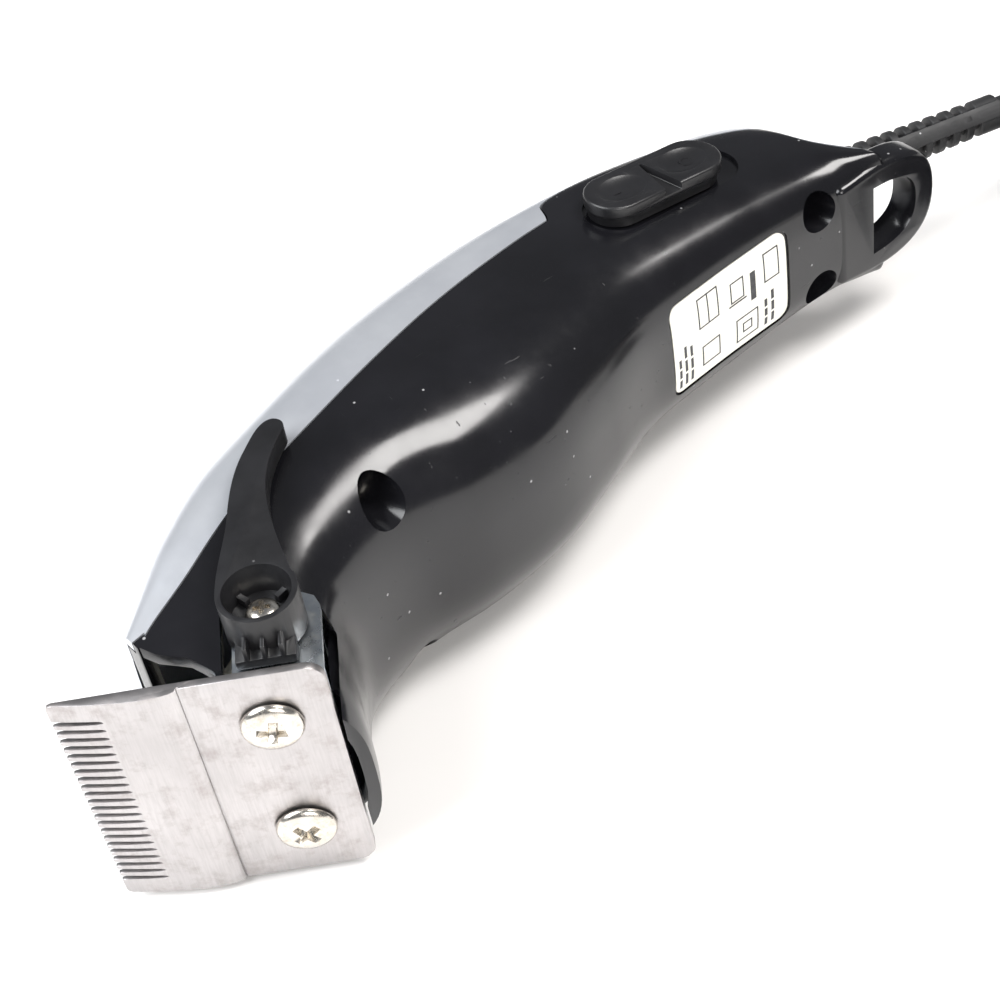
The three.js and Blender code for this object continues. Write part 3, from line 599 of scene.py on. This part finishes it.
# ---- case: outlines in its middle plane, station by station, and sections that are two half ovals
caseShape = {
    "belly": [(-4, -10), (3, -2), (8.5, 7.5), (16, 15), (30, 19), (45, 17), (60, 17.3), (75, 21.5),
              (90, 26.3), (105, 27.5), (120, 27.5), (131, 26.9), (137, 26.3), (142, 25.7), (147, 25)],
    "widest": [(-17, 26), (-9, 30.2), (1, 34.8), (13, 38.9), (30, 43.2), (45, 47.2), (60, 50.8), (75, 53.4),
               (90, 55.2), (105, 54.8), (120, 51), (131, 46.5), (137.5, 41.5), (141, 34.5), (146, 28)],
    "crown": [(-18, 30), (-11, 36.5), (-2, 44.2), (11, 51.5), (30, 57.3), (45, 61.1), (60, 62.6), (75, 63.4),
              (90, 62.5), (105, 61.4), (120, 60.6), (132, 59.4), (138.5, 55), (141.8, 43), (147.5, 30.2)],
    "halfWidth": [20, 21.2, 22.8, 24.1, 24.5, 24.2, 23.4, 22.2, 20.6, 19, 17.4, 16, 15.2, 14.6, 13.6],
    "crownSquare": 2.5, "bellySquare": (3, 4), "wall": 2.2, "hollowTo": 0.9, "gap": 0.3, "edge": 0.28,
}


def caseRing(share, inset, around, shift=(0, 0)):
    shape = caseShape
    widest, belly, crown = (lineAt(shape[name], share) for name in ("widest", "belly", "crown"))
    half = lineAt([(w, 0) for w in shape["halfWidth"]], share)[0] - inset
    low, high = shape["bellySquare"]
    ring = []
    for index in range(around):
        turn = 2 * math.pi * index / around
        rise, side = math.sin(turn), math.cos(turn)
        square = shape["crownSquare"] if rise > 0 else low + (high - low) * blendStep(share, 0.5, 0.7)
        edge = (crown if rise > 0 else belly) - widest
        place = widest + edge * max(1 - inset / edge.length, 0.1) * abs(rise) ** (2 / square)
        ring.append((place[0] + shift[0], place[1] + shift[1], half * math.copysign(abs(side) ** (2 / square), side)))
    return ring


def caseLoft(inset, to, along, around, mouth=False):
    rings = [caseRing(to * index / along, inset, around) for index in range(along + 1)]
    if mouth:
        rings.insert(0, caseRing(0, inset, around, (-6, -2)))
    return loft(rings)


coverDepth = 3.7
coverNotch = [(91.2, 53), (92.4, 56.6), (104, 56.9), (114, 55.6), (126, 52.6), (134, 49.4), (139, 46),
              (138.6, 42.4), (141.6, 34), (147, 27.4), (160, 22)]
mouthPlan = [(-40, 80), (-15.3, 80), (-15.3, 26), (-14.1, 22.3), (-11.2, 18), (-10.1, 13.4), (3.4, 3.3),
             (-0.3, -1.8), (3.1, -4.2), (3.1, -20), (-40, -20)]
leverNotchPlan = [(-15, -6), (0.9, -6), (0.9, 14), (-1.5, 18), (-13, 18), (-15, 15)]


def softened(points, share=0.25):
    # corners of an open line cut off three times over, until they are round
    for turn in range(3):
        line = [points[0]]
        for a, b in zip(points, points[1:]):
            a, b = Vector(a), Vector(b)
            line += [tuple(a.lerp(b, share)), tuple(a.lerp(b, 1 - share))]
        points = line + [points[-1]]
    return points


def aboveCoverLine(drop):
    side = [(-40, 14 - coverDepth - drop)]
    for index in range(49):
        x, y = lineAt(caseShape["widest"], 8 / 14 * index / 48)
        side.append((x, y - coverDepth + 1.8 * (1 - blendStep(x, -15, 0)) - drop))
    notch = [(x + drop, y - drop) if index < 2 else (x - drop, y - drop) for index, (x, y) in enumerate(coverNotch)]
    line = side + softened([side[-1]] + notch)[1:]
    return prism(line + [(160, 90), (-40, 90)], -40, 40)


# each case screw: x, z, radius of its well, and height of its head's seat
caseScrews = [(28.6, 18, 3.8, 33), (28.6, -18, 3.8, 33), (131.8, 8.6, 3.75, 38), (131.8, -8.6, 3.75, 38)]
screwPost = {"bore": 1.8, "wall": 1.2, "coverPost": 3.4}
powerHole = {"radius": 4.4, "place": (52, 36)}
noseShape = {"lip": ((-15.3, 25.2, -22), (-13.3, 26.5, 22)), "bar": ((-15.3, 26, -18), (-13.3, 28.6, 18)),
             "room": (((-16, 24, -18.4), (-13, 28.9, 18.4)), ((-16, 24, -24), (-13, 26.8, 24)))}
switchShape = {"centre": (109, 45.2, 18.4), "angle": -4, "lean": 6.5, "recess": (16.2, 5.9, 1.9), "sink": -0.8,
               "slot": ((-5, -2.3, -8), (9.5, 2.3, 2))}
switchFrame = (
    Matrix.Translation(switchShape["centre"])
    @ Matrix.Rotation(math.radians(switchShape["angle"]), 4, "Z")
    @ Matrix.Rotation(math.radians(switchShape["lean"]), 4, "Y")
)


def stadium(halfLength, halfWidth, shift=0.0, steps=16):
    run = halfLength - halfWidth
    turns = [math.pi * (index / steps - 0.5) for index in range(steps + 1)]
    right = [(shift + run + halfWidth * math.cos(t), halfWidth * math.sin(t)) for t in turns]
    return right + [(2 * shift - x, -y) for x, y in right]


loopShape = {"top": 31.2, "thick": 6, "lean": -5.5, "about": (146, 26), "edge": 1.6,
             "hole": (144.2, 154.7, 7.5), "end": 159.8, "halfWidth": 11.8}


def bezier(a, b, c, d, steps=12):
    out = []
    for index in range(steps):
        t = index / steps
        out.append(tuple((1 - t) ** 3 * p + 3 * (1 - t) ** 2 * t * q + 3 * (1 - t) * t * t * r + t**3 * s
                         for p, q, r, s in zip(a, b, c, d)))
    return out


def loopBlank():
    end, half = loopShape["end"], loopShape["halfWidth"]
    side = bezier((136, -11), (140, -11), (142, -half), (146, -half), 8)
    side += bezier((146, -half), (155, -half), (end, -8), (end, 0))
    plan = side + [(x, -z) for x, z in reversed(side[1:])] + [(136, 11)]
    plan.insert(len(side), (end, 0))
    blank = prism(plan, loopShape["top"] - loopShape["thick"], loopShape["top"], "Y")
    return rounded(blank, loopShape["edge"], angle=50, segments=5)


def leaned(bm, lift=0.0):
    x, y = loopShape["about"]
    lean = Matrix.Rotation(math.radians(loopShape["lean"]), 4, "Z")
    return moved(bm, Matrix.Translation((x, y + lift, 0)) @ lean @ Matrix.Translation((-x, -y, 0)))


def loopHole():
    front, back, half = loopShape["hole"]
    side = bezier((front, -half), (back - 2, -half), (back, -half * 0.6), (back, 0))
    plan = side + [(back, 0)] + [(x, -z) for x, z in reversed(side)]
    return leaned(prism(plan, 15, 34.5, "Y"))


cordHole = {"place": (144.6, 42.4, 0), "fall": -17, "radius": 3.9, "seatRadius": 4.7, "seat": -0.8}
cordWay = (
    Matrix.Translation(cordHole["place"])
    @ Matrix.Rotation(math.radians(cordHole["fall"]), 4, "Z")
    @ Matrix.Rotation(math.radians(90), 4, "Y")
)
labelShape = {"from": 94.5, "to": 123.4, "halfWidth": 9.8, "corner": 2.2, "sink": 0.45, "film": 0.2, "margin": 0.5}


def labelPlan(margin=0.0):
    x0, x1 = labelShape["from"] - margin, labelShape["to"] + margin
    half = labelShape["halfWidth"] + margin
    corner = labelShape["corner"] + margin
    plan = []
    for x, z, start in ((x1 - corner, half - corner, 0), (x0 + corner, half - corner, 90),
                        (x0 + corner, -half + corner, 180), (x1 - corner, -half + corner, 270)):
        for step in range(7):
            turn = math.radians(start + 15 * step)
            plan.append((x + corner * math.cos(turn), z + corner * math.sin(turn)))
    return plan


def laidOn(bm, tree, low, high):
    # a flat slab with its two faces at Y 0 and 1 is laid on the underside, from low to high above it
    for vert in bm.verts:
        hit = tree.ray_cast(Vector((vert.co.x, -60, vert.co.z)), Vector((0, 1, 0)))[0]
        vert.co.y = hit.y + (low if vert.co.y < 0.5 else high)
    return bm


def gridSlab(plan, pitch=1.0):
    bm = prism(plan, 0, 1, "Y")
    xs = [x for x, z in plan]
    zs = [z for x, z in plan]
    for axis, low, high in ((0, min(xs), max(xs)), (2, min(zs), max(zs))):
        place = low + pitch
        while place < high - 0.2:
            point, normal = Vector((0, 0, 0)), Vector((0, 0, 0))
            point[axis] = place
            normal[axis] = 1
            geom = list(bm.verts) + list(bm.edges) + list(bm.faces)
            bmesh.ops.bisect_plane(bm, geom=geom, plane_co=point, plane_no=normal, dist=1e-4)
            place += pitch
    return bm


def makeCase():
    shape = caseShape
    guide = caseLoft(0, 1, 168, 192)
    guide.normal_update()
    tree = BVHTree.FromBMesh(guide)
    outside = caseLoft(0, 1, 84, 96)

    def hollow(*posts):
        return without(caseLoft(shape["wall"], shape["hollowTo"], 60, 64, mouth=True), *posts)

    bore = screwPost["bore"]
    wells = [
        joined(rod(well, 10, seat, (x, z), "Y"), rod(bore, seat - 1, seat + 4, (x, z), "Y", 24))
        for x, z, well, seat in caseScrews
    ]
    posts = [rod(well + screwPost["wall"], 5, seat + 2, (x, z), "Y") for x, z, well, seat in caseScrews]
    nose = combined(slab(*noseShape["lip"]), outside.copy(), "INTERSECT")
    nose = joined(nose, slab(*noseShape["bar"]))
    hole = loopHole()
    cordSeat = rod(cordHole["seatRadius"], cordHole["seat"], 12)
    cordTool = moved(joined(rod(cordHole["radius"], -14, 12), cordSeat), cordWay)
    recess = moved(prism(stadium(*switchShape["recess"]), switchShape["sink"], 12), switchFrame)
    slot = moved(slab(*switchShape["slot"]), switchFrame)
    labelBed = laidOn(gridSlab(labelPlan(labelShape["margin"])), tree, -3, labelShape["sink"])
    lower = without(outside.copy(), hollow(*posts), aboveCoverLine(0))
    lower = without(lower, prism(mouthPlan, -40, 40), moved(prism(leverNotchPlan, 12, 40), bladeTurn))
    # the loop ends half way into the wall, so that no two faces meet in one plane
    loop = without(leaned(loopBlank()), caseLoft(shape["wall"] / 2, shape["hollowTo"] + 0.008, 60, 64, mouth=True))
    lower = joined(lower, loop, nose)
    lower = without(lower, hole.copy(), *wells, recess.copy(), slot, labelBed, cordTool.copy(),
                    rod(powerHole["radius"], -30, -15, powerHole["place"]))
    rounded(lower, shape["edge"], angle=34, clean=0.12)
    addPiece("case_lower", lower, glossBlack, stands=["lower_case"], smooth=50, guide=guide)
    print("lower case made")
    upperPosts = [rod(screwPost["coverPost"], seat + 2.3, 70, (x, z), "Y") for x, z, well, seat in caseScrews]
    bores = [rod(bore, seat, seat + 13, (x, z), "Y", 24) for x, z, well, seat in caseScrews]
    upper = combined(without(outside, hollow(*upperPosts)), aboveCoverLine(-shape["gap"]), "INTERSECT")
    upper = without(upper, prism(mouthPlan, -40, 40), *(slab(*corners) for corners in noseShape["room"]),
                    recess, cordTool, hole, leaned(loopBlank(), shape["gap"]), *bores)
    rounded(upper, shape["edge"], angle=34, clean=0.12)
    addPiece("case_cover", upper, silverPaint, stands=["top_cover"], smooth=50, guide=guide)
    print("cover made")
    return tree


# ---- label: cream film laid in its bed, with plain bars and shapes printed on it
printShape = {
    "left": -8.6, "line": 0.3, "thick": 0.04, "raise": 0.01,
    # rows of plain type: the first one's place, the pitch, a word's height, the gap, and each row's length
    "rows": ((95.6, 1.5, 0.62, 0.55, (7.2, 9.4, 8.6)), (117.6, 1.7, 0.7, 0.5, (6.6, 7.8))),
    # x, z, and size along and across
    "frames": ((101.6, -7.4, 4.6, 4.6), (110.4, -8.2, 5.6, 5.4), (112.0, -6.6, 2.4, 2.2), (101.2, 1.4, 5.2, 6.6),
               (109.4, 1.6, 3.4, 4.6), (117.8, 1.2, 3.8, 6.4)),
    "bars": ((103.6, 1.7, 0.3, 6.0), (108.9, 1.0, 4.4, 0.35), (114.4, -0.6, 1.3, 6.2)),
}


def makeLabel(tree):
    sink = labelShape["sink"]
    film = laidOn(gridSlab(labelPlan()), tree, sink - labelShape["film"], sink - 0.02)
    addPiece("label_film", film, labelFilm, stands=["rating_label"], smooth=60)
    printed = bmesh.new()
    high = sink - labelShape["film"] + printShape["raise"]
    line = printShape["line"]

    def bar(x, z, along, across):
        mark = gridSlab([(x, z), (x + along, z), (x + along, z + across), (x, z + across)], 1.5)
        together(printed, laidOn(mark, tree, high - printShape["thick"], high))

    for first, pitch, tall, gap, lengths in printShape["rows"]:
        for row, length in enumerate(lengths):
            for word in range(3):
                bar(first + row * pitch, printShape["left"] + word * length / 3, tall, length / 3 - gap)
    for x, z, along, across in printShape["frames"]:
        bar(x, z, along, line)
        bar(x, z + across - line, along, line)
        bar(x, z + line, line, across - 2 * line)
        bar(x + along - line, z + line, line, across - 2 * line)
    for corner in printShape["bars"]:
        bar(*corner)
    addPiece("label_print", printed, labelInk, smooth=60)
    print("label made")


# ---- screws, head at the low end of Z: a pan head with a worn cross recess
headShape = {"rim": 0.42, "curve": 3.2, "crown": (0, 0.2, 0.4, 0.58, 0.72, 0.84, 0.93), "edge": 0.06,
             "recess": (0.52, 0.17, 0.92)}  # the recess's reach and half width by radius, and its depth by height
bladeScrews = {"x": -9.25, "z": 12.4, "sunk": -2.0, "turned": (("left", 1, 12), ("right", -1, 52))}


def crossRecess(reach, half, depth):
    # two tapered wings, deeper and narrower at the middle
    tools = []
    for turn in (0, 90):
        rings = []
        for level, share in ((-0.3, 1.06), (depth * 0.45, 0.84), (depth, 0.341)):
            long, wide = reach * share, half * (1.1 - 0.35 * level / depth)
            plan = [(long, -wide * 0.8), (long, wide * 0.8), (-long, wide * 0.8), (-long, -wide * 0.8)]
            rings.append([(x, y, level) for x, y in plan])
        tools.append(moved(loft(rings), Matrix.Rotation(math.radians(turn), 4, "Z")))
    return joined(tools[0], tools[1])


def screwHead(radius, height, shank, length, sides=64):
    rim = height * headShape["rim"]
    profile = [(radius * share, (height - rim) * share ** headShape["curve"]) for share in headShape["crown"]]
    profile += [(radius * 0.985, height - rim * 0.72), (radius, height - rim * 0.45), (radius, height - 0.12),
                (radius - 0.12, height), (shank, height), (shank, height + length - 0.6),
                (shank - 0.5, height + length), (0, height + length)]
    reach, half, depth = headShape["recess"]
    head = without(lathe(profile, sides), crossRecess(radius * reach, radius * half, height * depth))
    return rounded(head, headShape["edge"], angle=42)


def makeScrews():
    for index, (x, z, well, seat) in enumerate(caseScrews):
        head = screwHead(2.9, 1.7, 1.5, 13)
        turn = Matrix.Rotation(math.radians(20 + 47 * index), 4, "Z")
        stand = Matrix.Translation((x, seat - 2.0, z)) @ Matrix.Rotation(math.radians(-90), 4, "X") @ turn
        addPiece(f"case_screw_head_{index + 1}", moved(head, stand), nickelPlate, stands=[f"case_screw_{index + 1}"])
    for name, side, turned in bladeScrews["turned"]:
        head = screwHead(4.7, 1.7, 1.9, 3.1, 96)
        turn = Matrix.Rotation(math.radians(turned), 4, "Z")
        place = Matrix.Translation((bladeScrews["x"], bladeScrews["sunk"], side * bladeScrews["z"]))
        stand = place @ Matrix.Rotation(math.radians(-90), 4, "X") @ turn
        addPiece(f"blade_screw_head_{name}", moved(head, stand), nickelPlate, place=bladeFrame,
                 stands=[f"blade_screw_{name}"])
    head = screwHead(2.6, 1.5, 1.5, 6.4)
    stand = Matrix.Translation((*leverShape["pivot"], 25.1)) @ Matrix.Rotation(math.radians(180), 4, "X")
    addPiece("lever_screw_head", moved(head, stand), nickelPlate, body="lever", place=bladeFrame,
             stands=["lever_screw"])
    print("screws made")


# ---- blade: a stamped plate, flat at the back, with a fine row of teeth
bladeShape = {
    "width": 46, "depth": 39.6, "step": 20.8, "plate": 1.3, "pitch": 1.81, "slots": 22, "slotDepth": 7.5,
    "slotWidth": 1.0, "corner": 3, "edge": 0.22,
}


def combTool(slots, pitch, side, low, high):
    # slots side by side: side gives half of one's outline, from its open end to its root
    comb = bmesh.new()
    for index in range(slots):
        z = (index - (slots - 1) / 2) * pitch
        plan = [(x, z - half) for x, half in side] + [(x, z + half) for x, half in reversed(side[:-1])]
        together(comb, prism(plan, low, high, "Y"))
    return comb


def makeBlade():
    shape = bladeShape
    half, depth, step, plate = shape["width"] / 2, shape["depth"], shape["step"], shape["plate"]
    under = bezier((-depth, plate - 0.62), (-36.2, 0.05), (-32.5, -0.62), (-28.2, -0.92), 10)
    under += bezier((-28.2, -0.92), (-24.8, -1.14), (-22.2, -0.98), (-step - 0.25, -0.34), 10)
    side = [(0, 0), (0, plate), (-depth, plate)] + under + [(-step - 0.25, -0.34), (-step, 0)]
    body = prism(side, -half, half)
    plan = []
    back = shape["corner"]
    for x, z, start in ((-back, half - back, 90), (-back, -half + back, 0)):
        plan += [(x + back * math.cos(math.radians(start - 15 * k)), z + back * math.sin(math.radians(start - 15 * k)))
                 for k in range(7)]
    plan += [(-depth + 0.9, -half), (-depth + 0.25, -half + 0.25), (-depth, -half + 0.9),
             (-depth, half - 0.9), (-depth + 0.25, half - 0.25), (-depth + 0.9, half)]
    body = combined(body, prism(plan, -4, 5, "Y"), "INTERSECT")
    rounded(body, shape["edge"], angle=38)
    near, far, end = shape["slotWidth"] * 0.64, shape["slotWidth"] * 0.36, shape["slotDepth"] - depth
    tip = [(-depth - 1, near + 0.1), (-depth, near), (-depth + 0.5, near * 0.82), (end - 0.75, far),
           (end - 0.2, far * 0.55), (end, 0)]
    body = without(body, combTool(shape["slots"], shape["pitch"], tip, -3, 4))
    groove = slab((-step - 0.02, -0.3, -half - 1), (-step + 0.3, 0.32, half + 1))
    body = without(body, groove)
    for sign in (-1, 1):
        body = without(body, rod(2.3, -3, 4, (bladeScrews["x"], sign * bladeScrews["z"]), "Y"))
    rounded(body, 0.07, angle=50, clean=0.02)
    return addPiece("fixed_comb", body, bladeSteel, place=bladeFrame, stands=["fixed_blade"], smooth=34)


cutterShape = {"half": 19.4, "front": -38.2, "back": -21.2, "top": 1.6, "under": 3.6, "slots": 20, "slotDepth": 5.4}


def makeCutter():
    shape = cutterShape
    front, half = shape["front"], shape["half"]
    body = slab((front, shape["top"], -half), (shape["back"], shape["under"], half))
    rounded(body, 0.25, angle=40)
    end = front + shape["slotDepth"]
    tip = [(front - 1, 0.6), (front, 0.56), (end - 0.5, 0.34), (end - 0.12, 0.18), (end, 0)]
    body = without(body, combTool(shape["slots"], bladeShape["pitch"], tip, 0, 6))
    rounded(body, 0.07, angle=50, clean=0.02)
    # the moving comb takes the steel darkened to near black as painted shade
    addPiece("moving_comb", body, cutterSteelPaintedShade, body="cutter", place=bladeFrame, stands=["moving_blade"], smooth=34)
    print("blades made")


# ---- sheet-metal frame: what shows of it at the mouth has rolled edges
frameShape = {
    "floor": ((-18.6, 1.6, -18.4), (-0.3, 3.2, 20.6)), "web": ((-3.4, 1.6, -11.5), (-1.8, 17, 11.5)),
    "ear": [(-13.3, 1.6), (-0.3, 1.6), (-0.3, 14), (-1.1, 15.9), (-3, 17), (-13.3, 17)], "earAt": (19, 20.6),
    "rise": [(6.6, 15.2), (8.6, 14.6), (23, 28.4), (82, 28.4), (82, 29.8), (22.4, 29.8)], "half": 11.5,
    "screwHole": 2.2, "leverHole": 1.8,
}


def makeFrame():
    shape = frameShape
    body = joined(slab(*shape["floor"]), prism(shape["ear"], *shape["earAt"]), slab(*shape["web"]))
    for sign in (-1, 1):
        place = (bladeScrews["x"], sign * bladeScrews["z"])
        body = without(body, rod(shape["screwHole"], 0, 4, place, "Y", 32))
    body = without(body, rod(shape["leverHole"], 15, 25, leverShape["pivot"], sides=32))
    rise = prism(shape["rise"], -shape["half"], shape["half"])
    body = joined(moved(body, bladeTurn), rise)
    rounded(body, 0.2, angle=40, clean=0.03)
    addPiece("sheet_frame", body, zincPlate, stands=["motor_frame"], smooth=34)
    print("frame made")


# ---- taper lever: a hub with a deep well, and an arm that thins to its tip
leverShape = {"pivot": (-8, 11), "radius": 6, "base": 21.1, "top": 28.6, "under": 25.1, "well": 4.8, "floor": 23.3,
              "edge": 0.7, "bore": 1.8, "ribs": 4,
              "footHalf": 4.4, "footFrom": 3.2, "footTo": 9, "footRibs": (-2.6, 0, 2.6),
              # round the arm, curve by curve, from the hub's far side to its near side
              "outline": [((-14, 16.5), (-12.6, 21), (-12.2, 26)), ((-11.9, 31), (-11.4, 36), (-9.4, 40.5)),
                          ((-8.2, 43.5), (-7, 46.7), (-4.9, 46.6)), ((-3.4, 46.2), (-2.9, 45), (-3.6, 43.6)),
                          ((-5, 40.4), (-6.4, 36.5), (-6.3, 31.5)), ((-6.2, 26), (-4.4, 19), (-2, 11))]}


def makeLever():
    shape = leverShape
    x, y = shape["pivot"]
    radius, base = shape["radius"], shape["base"]
    plan, here = [], (x - radius, y)
    for bend, pull, end in shape["outline"]:
        plan += bezier(here, bend, pull, end)
        here = end
    for step in range(30):
        turn = math.radians(-6 * step)
        plan.append((x + radius * math.cos(turn), y + radius * math.sin(turn)))
    arm = prism(plan, shape["under"], shape["top"])
    hub = rod(radius, base, shape["top"] - 0.01, (x, y), sides=60)
    body = joined(arm, hub)
    rounded(body, shape["edge"], angle=48, segments=5, clean=0.05)
    half, start, end = shape["footHalf"], shape["footFrom"], shape["footTo"]
    foot = slab((x - half, start, base), (x + half, end, base + 1.7))
    for k in shape["footRibs"]:
        foot = joined(foot, slab((x + k - 0.35, start, base + 0.5), (x + k + 0.35, end, base + 4.2)))
    body = joined(body, rounded(foot, 0.2, angle=50))
    well, floor, top = shape["well"], shape["floor"], shape["top"]
    centre = Matrix.Translation((x, y, 0))
    lip = well + 0.35
    hole = lathe([(0, floor), (well, floor), (well, top - 0.5), (lip, top - 0.1), (lip, 40), (0, 40)], 64)
    body = without(body, moved(hole, centre), rod(shape["bore"], 15, 40, (x, y), sides=32))
    for k in range(shape["ribs"]):
        rib = slab((3.0, -0.45, floor - 0.1), (well + 0.3, 0.45, floor + 1.4))
        moved(rib, centre @ Matrix.Rotation(math.radians(45 + 90 * k), 4, "Z"))
        body = joined(body, rib)
    rounded(body, 0.18, angle=50, clean=0.04)
    addPiece("lever_arm", body, satinBlack, body="lever", place=bladeFrame, stands=["taper_lever"], smooth=42)
    print("lever made")


# ---- switch: a long slide with two shallow dishes, a thumb notch between them, and its two marks
capShape = {
    "body": (13.3, 5.0, 0.0, 18), "bodyAt": (-0.4, 2.2), "cap": (14.1, 5.5, 0.0, 24), "capAt": (1.5, 3.9), "edge": 0.5,
    "dishes": (-7.0, 6.7), "dishAbove": 5.2, "dishSize": (6.21, 4.5, 2.1),
    "notch": [(-1.8, -6), (2.0, -6), (0.45, 3.4), (0.2, 3.8), (0, 3.8), (-0.25, 3.4)], "notchAt": (2.55, 8),
    "stem": ((-2.5, -1.9, -6), (3, 1.9, 0.2)),
    "markAt": (3.02, 3.26), "bar": (-9.9, -7.4, 0.28), "ring": (7.6, 1.35, 0.85),
}


def makeSwitch():
    shape = capShape
    cap = rounded(prism(stadium(*shape["cap"]), *shape["capAt"]), shape["edge"], angle=50, segments=4)
    body = joined(prism(stadium(*shape["body"]), *shape["bodyAt"]), cap)
    for x in shape["dishes"]:
        dish = bmesh.new()
        bmesh.ops.create_uvsphere(dish, u_segments=48, v_segments=32, radius=1)
        moved(dish, Matrix.Translation((x, 0, shape["dishAbove"])) @ Matrix.Diagonal((*shape["dishSize"], 1)))
        body = without(body, dish)
    body = without(body, rounded(prism(shape["notch"], *shape["notchAt"]), 0.3, angle=60, segments=3))
    body = rounded(joined(body, slab(*shape["stem"])), 0.16, angle=44, clean=0.04)
    addPiece("switch_slide_cap", body, satinBlack, body="switch", place=caseFrame @ switchFrame,
             stands=["switch_button"], smooth=40)
    low, high = shape["markAt"]
    start, end, half = shape["bar"]
    x, outer, inner = shape["ring"]
    ring = without(rod(outer, low, high, (x, 0)), rod(inner, low - 1, high + 1, (x, 0)))
    marks = together(slab((start, -half, low), (end, half, high)), ring)
    addPiece("switch_marks", marks, satinBlack, body="switch", place=caseFrame @ switchFrame, smooth=40)
    print("switch made")


# ---- strain relief: a tapering sleeve of ribs between two spines
reliefShape = {"start": cordHole["place"], "bend": (163, 36.8, 0), "end": cordShape["exit"], "root": 4.3, "tip": 3.4,
               "groove": 1.45, "pitch": 3.0, "rib": 1.5, "collar": 5, "ribFrom": 2.2, "soft": 0.18, "sides": 48,
               "spineHalf": 1.5, "neck": (3.4, -9, 1), "flange": (4.4, -10.4, -8.6)}


def reliefAt(share):
    start, bend, end = (Vector(reliefShape[name]) for name in ("start", "bend", "end"))
    place = start * (1 - share) ** 2 + bend * 2 * share * (1 - share) + end * share**2
    way = ((bend - start) * (1 - share) + (end - bend) * share).normalized()
    return place, way


def sweep(stations):
    # each station gives its share along the relief and its radius
    side = Vector((0, 0, 1))
    turns = [2 * math.pi * k / reliefShape["sides"] for k in range(reliefShape["sides"])]
    rings = []
    for share, radius in stations:
        place, way = reliefAt(share)
        up = way.cross(side).normalized()
        rings.append([tuple(place + radius * (side * math.cos(t) + up * math.sin(t))) for t in turns])
    return loft(rings)


def makeRelief():
    shape = reliefShape
    long = (Vector(shape["end"]) - Vector(shape["start"])).length

    def outer(share):
        return shape["root"] - (shape["root"] - shape["tip"]) * min(1, share * 1.1)

    core = [(index / 24, outer(index / 24) - shape["groove"]) for index in range(25)]
    sleeve = sweep(core)
    soft = shape["soft"]
    rings = [(-0.6, shape["ribFrom"])]
    at = shape["ribFrom"] + shape["pitch"] - shape["rib"]
    while at + shape["rib"] < long - shape["collar"] - 1:
        rings.append((at, at + shape["rib"]))
        at += shape["pitch"]
    rings.append((at, long))
    for low, high in rings:
        top, bottom = outer(low / long), outer(high / long)
        steps = [(low, top - soft), (low + soft, top), (high - soft, bottom), (high, bottom - soft)]
        sleeve = joined(sleeve, sweep([(min(place, long) / long, radius) for place, radius in steps]))
    for sign in (-1, 1):  # one spine lies half way from the crown to the left side, the other straight across
        rings = []
        for index in range(41):
            share = index / 40
            place, way = reliefAt(share)
            up = way.cross(Vector((0, 0, 1))).normalized()
            out = sign * (up + Vector((0, 0, 1))).normalized()
            across = way.cross(out).normalized()
            reach, half = outer(share) - 0.04, shape["spineHalf"]
            rings.append([tuple(place + out * o + across * a) for o, a in
                          ((0.6, -half), (reach * 0.93, -half), (reach, -half * 0.5), (reach, half * 0.5),
                           (reach * 0.93, half), (0.6, half))])
        sleeve = joined(sleeve, loft(rings))
    neck = moved(joined(rod(*shape["neck"], sides=40), rod(*shape["flange"], sides=40)), cordWay)
    body = rounded(joined(sleeve, neck), 0.14, angle=50, clean=0.03)
    addPiece("relief_sleeve", body, softRubber, stands=["strain_relief"], smooth=42)
    print("strain relief made")


def makeFloor():
    bm = bmesh.new()
    bmesh.ops.create_grid(bm, x_segments=1, y_segments=1, size=3)
    mesh = bpy.data.meshes.new("floor")
    bm.to_mesh(mesh)
    bm.free()
    ground = bpy.data.objects.new("floor", mesh)
    ground.data.materials.append(finish("whiteTable", "label_paper", {
        "colour": (0.90, 0.885, 0.87), "second": (0.915, 0.90, 0.885), "roughness": (0.55, 0.7), "patchScale": 6,
        "grain": 0.4, "grainScale": 1200, "bump": 0.1,
    }))
    bpy.context.scene.collection.objects.link(ground)


setCamera()
setLamps()
makeFloor()
finishCadNodes()
cord, cordLength = makeCord()
plug = makePlug()
tie = makeTie()
caseSurface = makeCase()
makeLabel(caseSurface)
makeScrews()
makeBlade()
makeCutter()
makeFrame()
makeLever()
makeSwitch()
makeRelief()
